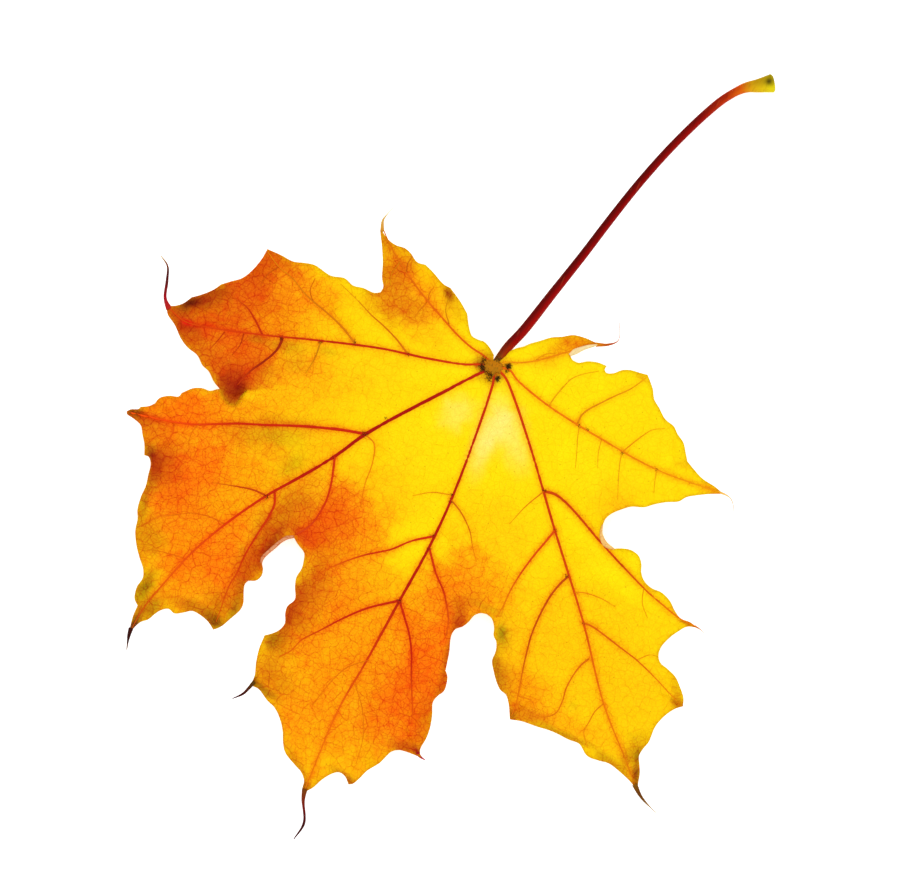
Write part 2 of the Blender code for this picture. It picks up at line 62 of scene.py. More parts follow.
# Each lobe's margin goes out from the sinus before it to its tip, and back to the next sinus, in
# smooth stretches: each runs from the corner where the one before it ended to its own last point.
LOBES = {
    "stalk_left": [
        [(-0.9, 2.4), (-2.2, 3.4), (-3.9, 4.2), (-5.6, 4.1), (-7, 4.3), (-8.3, 5.7), (-9.9, 8.3)],
        [(-12.3, 10.1), (-15.6, 12)],
        [(-17.2, 12.1), (-20.5, 13.6), (-22.6, 14.4)],
        [(-24.6, 14.2), (-26.6, 15.4), (-28.3, 15.9), (-30.2, 15.7), (-32.2, 16.1), (-34.1, 17.2),
         (-35, 18.4)],
        # and back
        [(-34.6, 16.9), (-33.2, 14.5), (-31.4, 11), (-30.2, 7.9), (-29.1, 6.1), (-29.2, 4.9)],
    ],
    "side_left": [
        [(-30.4, 4.2), (-33, 4.2), (-35.3, 3.8), (-37.6, 4.5), (-40.7, 3.8), (-44.9, 4.5), (-47.2, 4),
         (-49.5, 3.3), (-52.5, 3.5), (-55.8, 3.5)],
        [(-56.1, 0.8), (-57, -2.2), (-58.3, -4.6), (-60.3, -6.3), (-61.9, -7.7)],
        [(-62.9, -9.4), (-65.2, -11.8), (-66.6, -12.9)],
        [(-67.9, -15), (-69.2, -16.1), (-71, -16.9)],
        # and back
        [(-70, -18.5), (-67.5, -20.1), (-65.3, -22.1), (-63, -23.4), (-60.4, -24.1), (-58.4, -25.7),
         (-56.7, -26.3), (-54.6, -28), (-52.8, -28.9), (-51.3, -30.1), (-49.7, -30.8), (-48.2, -30.5)],
        [(-48, -28.4), (-47.3, -26.5)],
    ],
    "wide_left": [
        [(-50.3, -27.8), (-53.2, -29), (-54.7, -30.1), (-56.3, -30.2), (-58.2, -31), (-60.1, -33)],
        [(-60.4, -34), (-62.4, -34.7), (-64.2, -36.1), (-64.6, -37.5)],
        [(-65.6, -38.6), (-67.2, -39.5)],
        [(-67.4, -40.1), (-69, -40.9), (-69.6, -41.7)],
        [(-69.3, -42.2), (-67.6, -42.5), (-65.5, -43.2), (-64.3, -44.9), (-63.1, -46.6), (-62.1, -48.9)],
        [(-61.1, -48.8), (-60.1, -50), (-59.6, -52.5), (-59.1, -54.8), (-59.1, -57.5), (-58.6, -60.5),
         (-57.8, -62.2), (-57.2, -64.8), (-55.8, -67.5), (-53.8, -70.1), (-52.2, -71.9), (-51.5, -73.7),
         (-51.9, -76), (-51.3, -78.6), (-50.1, -79.7)],
        [(-50.1, -82), (-49.7, -84.5), (-49.3, -86.3)],
        # and back
        [(-48.9, -84.8), (-48, -82.8), (-46.7, -81.6), (-45.8, -79.8), (-44.9, -78.5), (-43.5, -77.6),
         (-42, -78), (-40.2, -77), (-38.6, -75.9), (-36.6, -76), (-34.4, -76.7), (-32.7, -77.8)],
        [(-31.5, -76.6), (-30.1, -73.8), (-29, -71.3), (-29, -69.7), (-29.9, -67.5), (-30.4, -65.8),
         (-30, -64.8)],
        [(-28.4, -64), (-27.8, -62.6), (-28.1, -61.1), (-28.8, -60), (-28.8, -59), (-28.3, -57.6),
         (-27.4, -55.8), (-26.8, -54.4), (-25.8, -53), (-24.6, -52.1)],
    ],
    "middle": [
        [(-23.4, -53), (-21.3, -54.2), (-20.7, -55.8), (-20.4, -57.6), (-20.7, -59.8), (-20.1, -61.8),
         (-19, -64.3), (-19.9, -66.4), (-19.7, -68), (-18.9, -70), (-19.3, -71.7), (-20.5, -73.2),
         (-21.9, -74.3)],
        [(-21.8, -77.5), (-21.2, -80.5), (-20.3, -83.3), (-20.3, -85.7)],
        [(-19.4, -85.6), (-18.2, -85.7), (-15.6, -87.2), (-13.6, -87.9), (-11.8, -89.3), (-9.9, -91.6),
         (-8.6, -94.2), (-7.3, -96), (-4.2, -97.7), (-2.4, -98.5), (-1, -100), (-0.6, -101.8),
         (0, -102.9)],
        # and back
        [(0.5, -101.9), (1.5, -100.6), (2.4, -98.5), (3.6, -96.6), (5.2, -95.2), (6.8, -95.4),
         (8.3, -96.8)],
        [(9.1, -96.3), (10, -94.5), (10.8, -92.4), (12.6, -89.7), (13.2, -88.2), (14, -86.3),
         (15.4, -85.3), (17.5, -85), (20.4, -84.9)],
        [(19.6, -83.4), (19.8, -80.5), (19.6, -78), (18.9, -75.3), (17.9, -72.7), (18.3, -70.9),
         (19.1, -69.5), (18.9, -67.3), (18.4, -66), (17.6, -65.2)],
        [(17.2, -63.3), (16.6, -60.8), (15.9, -58.8), (15.6, -57.3), (15.9, -55.9), (17, -54.9),
         (17.9, -53.3), (18.4, -51.6), (19.5, -50.5), (20.9, -50.2)],
    ],
    "wide_right": [
        [(22.3, -50.7), (23.5, -52.3), (24.1, -53.9), (25.2, -54.9), (25.9, -56.8), (26, -59),
         (27.2, -60.9), (29, -63.1), (30.3, -64.2), (31.9, -64.7), (33.2, -66.2), (34.9, -69.3)],
        [(37.5, -68.6), (41, -68.3), (44.5, -67.9), (48.5, -68.1), (51, -68), (53.6, -69.7),
         (56.5, -69.6), (58.7, -69.3), (62.3, -70.2), (65.2, -71.3), (67, -72.4)],
        # and back
        [(66.4, -70.6), (65.8, -68.4), (64.9, -66.6), (64.1, -65), (64.3, -63.2), (64.8, -61.4),
         (64.7, -58), (65.3, -55.6), (66.2, -53.7), (67.4, -52.1), (68.5, -51.2)],
        [(67.8, -49.4), (65.7, -47.1), (64.3, -45.9), (62, -45), (60, -44.4), (59, -43.1), (58.8, -41.3),
         (59.6, -38.7), (60.8, -36.6), (62.2, -34.8), (64.4, -34.1)],
        [(62.4, -33.6), (60.2, -33.7), (58.3, -32.7), (56.5, -31.2), (54, -30.2), (51.5, -30.2),
         (49.4, -29.4), (48, -27.9), (47.4, -26.4), (46.1, -24.9), (44, -24.4), (42, -24.9),
         (40.6, -25.6)],
        [(38.5, -25), (36.9, -23.7), (36.1, -21.8)],
    ],
    "side_right": [
        [(36.1, -20.4), (36.9, -18.8), (38.3, -17.3), (40.2, -15.7), (42.8, -14.7), (44.6, -13.2),
         (46.8, -11.7), (49.3, -10.4), (50.4, -8.9), (52, -7.8), (54.6, -6.3), (57.6, -4.9)],
        # and back
        [(55.2, -4.2), (52, -3.7), (49.4, -2.6), (47.4, -1.6)],
        [(46.4, -0.2), (44.9, 1.8), (43, 3), (41.6, 4.2), (39.2, 4.9), (37, 6.6), (35.2, 7.9),
         (34.1, 9.7), (33.3, 10.6), (31.7, 12.2)],
        [(29.8, 11.9), (27.8, 11.6), (26.2, 10.9), (24.6, 9.4), (23.2, 8.9), (22.6, 9.4), (22.7, 10.3)],
        [(20.5, 10.2), (18.4, 9.5), (16.7, 8.4), (15.4, 8.4)],
    ],
    "stalk_right": [
        [(14.6, 9), (15.7, 10.1), (16.7, 11.4), (17.9, 12.5), (19.6, 14.1)],
        # and back
        [(18, 14), (16, 14), (13.2, 13.5), (11.2, 12.2), (9.1, 11.1), (7, 9.3), (5.3, 7.9), (4.3, 6.8),
         (2.9, 5.7), (2, 4.6), (1.5, 3.1)],
    ],
}

# Near the junction a seam between two lobes bends at this point.
SEAM_BENDS = {
    "side_left": (-4.5, 0.2), "wide_left": (-3.6, -2.2), "middle": (-0.7, -4.0),
    "wide_right": (2.6, -2.6), "side_right": (4.2, -0.6), "stalk_right": (4.2, 1.9),
}

# the seven main ribs, from the junction to the lobe tips
RIBS = {
    "stalk_left": [(0, 0), (-2.6, 1.3), (-6, 1.9), (-10, 3.2), (-14, 5.0), (-18.5, 7.1), (-23, 9.5),
                   (-30, 14), (-35.0, 18.4)],
    "side_left": [(0, 0), (-3, -0.8), (-6, -2.1), (-14, -4.2), (-24, -6.3), (-38, -10.5),
                  (-49.5, -14.3), (-62.4, -17.9), (-66, -18.4), (-71.0, -16.9)],
    "wide_left": [(0, 0), (-3, -3.6), (-7, -8.6), (-19.5, -24.8), (-23.7, -32), (-29, -39.5),
                  (-34.1, -46.3), (-39.8, -55.7), (-44, -64.5), (-46.5, -72), (-48.7, -80), (-49.3, -86.3)],
    "middle": [(0, 0), (1.2, -2.4), (1.8, -6), (3.4, -28.1), (3.3, -41.4), (2.1, -55.5), (0.8, -71),
               (-0.4, -82.5), (0, -102.9)],
    "wide_right": [(0, 0), (3.1, -0.9), (6, -3.4), (15, -13.2), (27, -27.3), (41, -43.3),
                   (52.3, -57.7), (62, -67.3), (67.0, -72.4)],
    "side_right": [(0, 0), (3.6, 0.8), (6, -0.5), (14.7, -2.9), (28, -4.8), (42, -6), (57.6, -4.9)],
    "stalk_right": [(0, 0), (2.6, 2.2), (5, 3.2), (8, 5), (13.7, 9.7), (19.6, 14.1)],
}

# The side veins of each lobe: colours at the fork and the end, half widths there, and the course.
SIDE_VEINS = {
    "stalk_left": [
        ("d87000", "e89000", 0.12, 0.08, [(-18.8, 7.2), (-19.3, 9), (-19, 10.8)]),
        ("d87800", "e89000", 0.12, 0.08, [(-19, 7), (-19.7, 5), (-20.2, 3)]),
        ("c86000", "d88000", 0.14, 0.08, [(-25.8, 11.3), (-26.3, 13), (-26, 15)]),
        ("c87800", "e0a000", 0.1, 0.06, [(-12.6, 4.6), (-14.5, 7), (-15.2, 10.5)]),
        ("d88800", "e0a000", 0.1, 0.06, [(-28, 12.7), (-28.6, 9.5), (-27.8, 7)]),
    ],
    "side_left": [
        ("d07000", "e8a800", 0.17, 0.08, [
            (-18.5, -4.9), (-22, -3), (-25.5, -1.6), (-29, -0.5), (-33, 1.2), (-38, 3)]),
        ("d07800", "e89000", 0.2, 0.1, [
            (-29.8, -7.6), (-34, -5.4), (-38, -4), (-42, -2.9), (-44.5, -2), (-48, -0.2), (-52, 1),
            (-55.5, 3)]),
        ("c03000", "e06000", 0.22, 0.1, [(-49.2, -14.1), (-52.1, -11.7), (-54.8, -10), (-59.5, -9.1)]),
        ("9c2400", "c83c00", 0.26, 0.17, [
            (-44.8, -13), (-44.7, -15), (-45.2, -17), (-46.5, -19.5), (-48, -22), (-49, -24.3),
            (-49.6, -26.5)]),
        ("c03800", "d85000", 0.12, 0.08, [(-57, -17), (-57.5, -19), (-58.5, -22)]),
        ("b83800", "d05000", 0.14, 0.08, [(-53, -15.6), (-52.7, -18), (-53.4, -21)]),
        ("c88000", "e0a000", 0.16, 0.08, [(-36.8, -10.5), (-36.5, -14), (-37, -18)]),
        ("c86000", "d87000", 0.12, 0.08, [(-42, -2.9), (-43.5, -1), (-43.6, 1.8)]),
        ("c85800", "d86800", 0.12, 0.07, [(-52, 0.8), (-53.5, -1.6), (-53.9, -4.5)]),
    ],
    "wide_left": [
        ("c82400", "ff5a00", 0.3, 0.2, [
            (-19.5, -24.8), (-26, -26.5), (-34.5, -29.5), (-40, -31.8), (-46, -34.1), (-50, -36),
            (-55, -38.3), (-60, -39.8), (-64, -40.7), (-69.5, -41.8)]),
        ("c04000", "e88000", 0.2, 0.09, [(-34.3, -46.1), (-37.2, -46.1), (-42, -47.2), (-46, -48.3)]),
        ("e06800", "e87800", 0.12, 0.08, [
            (-40, -55.5), (-43.5, -55.4), (-47.3, -56.2), (-50.9, -58.3)]),
        ("e87800", "d05800", 0.13, 0.1, [(-50.9, -58.3), (-53.8, -60), (-56.4, -63.5)]),
        ("e87000", "d88000", 0.12, 0.07, [(-45.2, -66), (-50.3, -66.8), (-52.9, -67.5)]),
        ("e86000", "e87000", 0.16, 0.08, [(-58.7, -40), (-58.4, -42.5), (-58.7, -45)]),
        ("e07000", "e88000", 0.1, 0.06, [(-53.8, -37.6), (-54.6, -40), (-54.2, -43)]),
        ("cc3000", "d44410", 0.24, 0.18, [
            (-23.7, -32), (-21.9, -38.4), (-21.5, -42.7), (-22.6, -48.4), (-24.7, -51.3)]),
        ("cc3000", "e06000", 0.24, 0.1, [
            (-32.6, -44.7), (-31.6, -47), (-31.6, -50), (-32.4, -55.3), (-33, -60.3), (-33, -64.4),
            (-33.4, -67), (-32.8, -76)]),
        ("e88000", "e88000", 0.12, 0.07, [
            (-19.5, -25), (-17, -26), (-15.6, -30), (-15.2, -35), (-14, -40)]),
    ],
    "middle": [
        ("e89000", "f0a000", 0.12, 0.07, [(3, -29.4), (-1, -30.6), (-4.6, -33)]),
        ("d06800", "f09000", 0.16, 0.08, [(3.4, -30.4), (6.5, -32), (10, -35), (12, -38), (14, -40.5)]),
        ("cc2c00", "e86c00", 0.24, 0.12, [
            (3.3, -39.2), (-1, -42.3), (-4, -45.5), (-9.7, -49.8), (-15.4, -55.6), (-17, -58)]),
        ("cc3000", "e06000", 0.24, 0.16, [
            (3.4, -42), (7, -46.5), (10, -49.3), (12, -52), (13.7, -54.8), (14.6, -58)]),
        ("c42400", "e86800", 0.26, 0.1, [
            (2.1, -55.2), (-3, -59), (-5.1, -61), (-8.2, -64.5), (-11.4, -68.6), (-14.1, -72),
            (-15.2, -75), (-17, -77.3)]),
        ("c42400", "ea6000", 0.26, 0.12, [
            (2.1, -55.2), (4.5, -58), (7, -61), (9.1, -64.5), (11.2, -69.3), (12.9, -72.8), (15, -77.3),
            (15.3, -79)]),
        ("e07800", "e88800", 0.1, 0.06, [(1.2, -70), (-2.5, -73.5), (-4.5, -78), (-6, -84)]),
        ("e07800", "e88800", 0.1, 0.06, [(0.6, -76), (4.2, -80.2), (7, -86), (8, -92)]),
    ],
    "wide_right": [
        ("e07800", "e8a000", 0.12, 0.07, [(21.3, -20.4), (19, -25), (17.3, -30)]),
        ("d84800", "f09000", 0.24, 0.12, [
            (27, -27.3), (26.2, -30), (24.8, -35), (23.8, -40), (23.4, -44), (23.4, -47), (23, -50)]),
        ("c04800", "f08800", 0.22, 0.12, [
            (33.8, -35.3), (33, -37), (32.1, -40), (31.6, -44), (31.6, -50), (32.2, -54), (33, -58),
            (34, -62), (34.8, -66), (34.9, -69)]),
        ("d86800", "f09800", 0.16, 0.1, [
            (45.3, -50), (44.3, -52), (43.6, -55), (43.4, -58), (43.8, -61), (43.5, -64), (41, -66),
            (38, -66.4)]),
        ("e08000", "f0a000", 0.12, 0.08, [
            (52.3, -57.7), (51.3, -60), (51, -63), (50.8, -65), (53, -68)]),
        ("e88000", "f0a000", 0.12, 0.08, [(34.6, -63.8), (37.6, -63.6), (39.4, -65.4)]),
        ("c84000", "f08000", 0.26, 0.14, [
            (21.5, -20.3), (24, -20), (27, -20.8), (32, -23), (36, -25), (40, -26.8), (46, -29.3),
            (51, -31.3), (56, -32.8), (60, -33.8), (64.5, -34)]),
        ("d86000", "f09000", 0.18, 0.1, [
            (41, -43.3), (43, -43.2), (46, -43.8), (50, -44.8), (55, -46), (60, -47.8), (64, -49.5),
            (67.5, -51)]),
        ("e88800", "f0a800", 0.13, 0.08, [(36.5, -38), (38, -37.3), (42, -36.8), (46, -37.2)]),
        ("e89000", "f0a800", 0.1, 0.06, [(50, -31), (51, -34), (53.4, -36.6)]),
        ("e89000", "f0a800", 0.1, 0.06, [(55, -46), (57.2, -43.8), (59, -43.4)]),
    ],
    "side_right": [
        ("e8a000", "f0b000", 0.12, 0.08, [
            (14.7, -2.8), (15, -0.8), (15.8, 2), (16.8, 4.6), (19, 6.8), (21.5, 8.5)]),
        ("dc8800", "f0a800", 0.17, 0.11, [
            (22, -3.8), (22, -2), (22.6, -0.5), (24.5, 2), (27, 5), (29.5, 7.8), (31.7, 11.5)]),
        ("e89000", "f0b000", 0.12, 0.07, [
            (33.5, -5.5), (34.5, -3.5), (36, -0.7), (37.5, 1.5), (40, 3)]),
        ("e8a000", "f0b000", 0.1, 0.06, [(22.5, -4), (23.2, -6.5), (24.5, -10), (25.5, -13)]),
        ("e8a000", "f0b000", 0.1, 0.06, [(33.5, -5.8), (34, -8), (35.2, -11.5), (36.8, -15.5)]),
        ("e8a000", "f0b000", 0.1, 0.06, [(42, -6), (42.5, -8), (43.5, -11)]),
        ("e8a000", "f0b000", 0.09, 0.06, [(28.2, -5), (28.8, -8), (30, -11)]),
    ],
    "stalk_right": [
        ("e89800", "e8a000", 0.1, 0.06, [(8, 5.2), (9.2, 7), (11.4, 8.4)]),
    ],
}

# heights that the tips and the larger teeth hold, above the surface
TIP_HEIGHTS = [
    ((-35.0, 18.4), 8.5), ((-55.8, 3.5), 4.4), ((-71.0, -16.9), 4.6), ((-69.6, -41.7), 2.6),
    ((-49.3, -86.3), 0.2), ((-32.7, -77.8), 1.8), ((-20.3, -85.7), 0.8), ((0.0, -102.9), 0.2),
    ((20.4, -84.9), 1.6), ((34.9, -69.3), 1.1), ((67.0, -72.4), 0.2), ((68.5, -51.2), 2.3),
    ((64.4, -34.1), 3.4), ((57.6, -4.9), 4.4), ((31.7, 12.2), 6.0), ((19.6, 14.1), 9.0),
]

DOME_HEIGHT = 8.5
DOME_RADIUS = 62.0
PLEAT_HEIGHT = 1.4       # the blade bulges up between the main ribs
PLEAT_WIDTH = 7.0
WAVE_HEIGHT = 0.8        # long waves along the margin
WAVE_LENGTH = 19.0
WAVE_REACH = 5.0
TIP_REACH = 13.0         # how far from a tip its own height takes hold
LAPPED_TOOTH = (-49.5, -29.5)
LAP_REACH = 4.5
LAP_RISE = {"side_left": 0.9, "wide_left": -0.5}

QUILT_HEIGHT = 0.42      # small bulges between the side veins
QUILT_WIDTH = 2.6
FRILL_HEIGHT = 0.28      # short crimps along the margin
FRILL_LENGTH = 5.3
FRILL_REACH = 2.2
RIPPLE_HEIGHT = 0.09     # unevenness of the dry tissue
RIPPLE_LENGTHS = (9.0, 4.6)
FLAT_REACH = 0.7         # the fine shape dies out this close to a vein

BLADE_THICKNESS = 0.2
SHARP_ANGLE = 50.0       # degrees: an edge that turns more than this stays crisp
MARGIN_STEP = 0.5
LATTICE_STEP = 0.62
LATTICE_GAP = 0.55       # no lattice point nearer the edge than this share of a step
SEAM_STEP = 0.62
ON_SEAM = 1e-3           # a point this near a seam is on it
RIB_SAMPLE_STEP = 1.0
VEIN_SAMPLE_STEP = 0.8


def smooth(points, step):
    """A curve through the points: cubic pieces sharing their slopes, read about every step."""
    p = np.array(points, float)
    length = np.linalg.norm(np.diff(p, axis=0), axis=1)
    ends = np.concatenate([[0], np.cumsum(length)])
    along = np.linspace(0, ends[-1], max(1, int(np.ceil(ends[-1] / step))) + 1)
    if len(p) == 2:
        return p[0] + (p[1] - p[0]) * (along / ends[-1])[:, None]
    knot = np.concatenate([[0], np.cumsum(np.sqrt(length))])
    slope = np.gradient(p, knot, axis=0)
    i = np.clip(np.searchsorted(ends, along, "right") - 1, 0, len(p) - 2)
    f = ((along - ends[i]) / length[i])[:, None]
    span = (knot[i + 1] - knot[i])[:, None]
    return (
        (2 * f**3 - 3 * f**2 + 1) * p[i] + (f**3 - 2 * f**2 + f) * span * slope[i]
        + (3 * f**2 - 2 * f**3) * p[i + 1] + (f**3 - f**2) * span * slope[i + 1]
    )


def lobe_margins(step):
    """Each lobe's margin as points about a step apart: its stretches end to end, corners kept."""
    margins, start = {}, None
    for name, lobe in LOBES.items():
        runs = [] if start is None else [np.array([start])]
        for stretch in lobe:
            through = stretch if start is None else [start] + stretch
            runs.append(smooth(through, step)[0 if start is None else 1:])
            start = stretch[-1]
        margins[name] = np.vstack(runs)
    return margins


def nearest(points, samples, block=1500):
    """Each point's distance to the nearest sample, and its number, a block of points at a time."""
    distance, number = [], []
    for some in np.array_split(points[:, :2], len(points) // block + 1):
        gap = np.hypot(*(some[:, None] - samples[None, :, :2]).transpose(2, 0, 1))
        distance.append(gap.min(axis=1))
        number.append(gap.argmin(axis=1))
    return np.concatenate(distance), np.concatenate(number)


MARGINS = lobe_margins(MARGIN_STEP)
WHOLE_MARGIN = np.vstack(list(MARGINS.values()))
MARGIN_GAPS = np.linalg.norm(np.diff(WHOLE_MARGIN, axis=0), axis=1)
MARGIN_LENGTH = np.concatenate([[0], np.cumsum(MARGIN_GAPS)])
RIB_SAMPLES = np.vstack([smooth(rib, RIB_SAMPLE_STEP) for rib in RIBS.values()])
VEIN_RUNS = [
    (wide, narrow, smooth(course, VEIN_SAMPLE_STEP))
    for veins in SIDE_VEINS.values() for _, _, wide, narrow, course in veins
]
VEIN_SAMPLES = np.vstack([run for _, _, run in VEIN_RUNS])
VEIN_WIDTHS = np.concatenate([np.linspace(wide, narrow, len(run)) for wide, narrow, run in VEIN_RUNS])
TIP_POINTS = np.array([point for point, _ in TIP_HEIGHTS])
RIPPLES = np.random.default_rng(11).normal(size=(2, 12, 3))


def bell(distance, reach):
    """One at no distance, falling as exp(-(distance / reach) squared)."""
    return np.exp(-((distance / reach) ** 2))


def step_share(value, start, end):
    """A smooth rise from 0 at start to 1 at end: 3 t squared less 2 t cubed."""
    t = np.clip((value - start) / (end - start), 0, 1)
    return t * t * (3 - 2 * t)


def ripples(points, waves, length):
    """For each set of waves, the sum of sin(2 pi (point . heading) / length + phase), about one high."""
    phase = np.einsum("pk,...wk->...pw", points, waves[..., :2]) * (2 * np.pi / length)
    phase = phase + waves[..., None, :, 2] * np.pi
    return np.sin(phase).sum(axis=-1) / math.sqrt(waves.shape[-2])


def sheet_height(points):
    """The solid's sheet: dome, plus pleats rising away from the main ribs, plus the margin's waves."""
    to_rib = nearest(points, RIB_SAMPLES)[0]
    to_margin, sample = nearest(points, WHOLE_MARGIN)
    dome = DOME_HEIGHT * bell(np.hypot(points[:, 0], points[:, 1]), DOME_RADIUS)
    wave = np.sin(2 * np.pi * MARGIN_LENGTH[sample] / WAVE_LENGTH)
    free = 1 - bell(to_rib, PLEAT_WIDTH)
    return dome + free * (PLEAT_HEIGHT + WAVE_HEIGHT * wave * bell(to_margin, WAVE_REACH))


TIP_OFFSETS = np.array([height for _, height in TIP_HEIGHTS]) - sheet_height(TIP_POINTS)


def relief(points):
    """Fine shape: quilts between veins, short crimps at the margin, and a sum of random sine ripples."""
    to_vein = np.minimum(nearest(points, VEIN_SAMPLES)[0], nearest(points, RIB_SAMPLES)[0])
    to_margin, sample = nearest(points, WHOLE_MARGIN)
    quilt = QUILT_HEIGHT * (1 - bell(to_vein, QUILT_WIDTH))
    crimp = np.sin(2 * np.pi * MARGIN_LENGTH[sample] / FRILL_LENGTH)
    frill = FRILL_HEIGHT * crimp * bell(to_margin, FRILL_REACH)
    ripple = RIPPLE_HEIGHT * sum(map(partial(ripples, points), RIPPLES, RIPPLE_LENGTHS))
    return (quilt + frill + ripple) * (1 - bell(to_vein, FLAT_REACH))


def height(points, lobe=None):
    """The blade's middle surface: sheet, tips' own heights, the lap of one tooth, and fine relief."""
    points = np.asarray(points, float)[:, :2]
    gaps = np.hypot(*(points[:, None] - TIP_POINTS[None]).transpose(2, 0, 1))
    lift = (TIP_OFFSETS * bell(gaps, TIP_REACH)).sum(axis=1)
    lap = LAP_RISE.get(lobe, 0) * bell(np.hypot(*(points - LAPPED_TOOTH).T), LAP_REACH)
    return sheet_height(points) + lift + lap + relief(points)


LIGHT_LEVEL = 1.16       # the studio's light shows a surface this much brighter than it is


def ink(code):
    """The surface colour that shows as this six-digit colour, so divided by the light's level.

    A channel c becomes ((c + 0.055) / 1.055) to the 2.4, or c / 12.92 where c is under 0.04.
    """
    shown = np.array([int(code[i:i + 2], 16) for i in (0, 2, 4)]) / 255
    return np.where(shown > 0.04, ((shown + 0.055) / 1.055) ** 2.4, shown / 12.92) / LIGHT_LEVEL


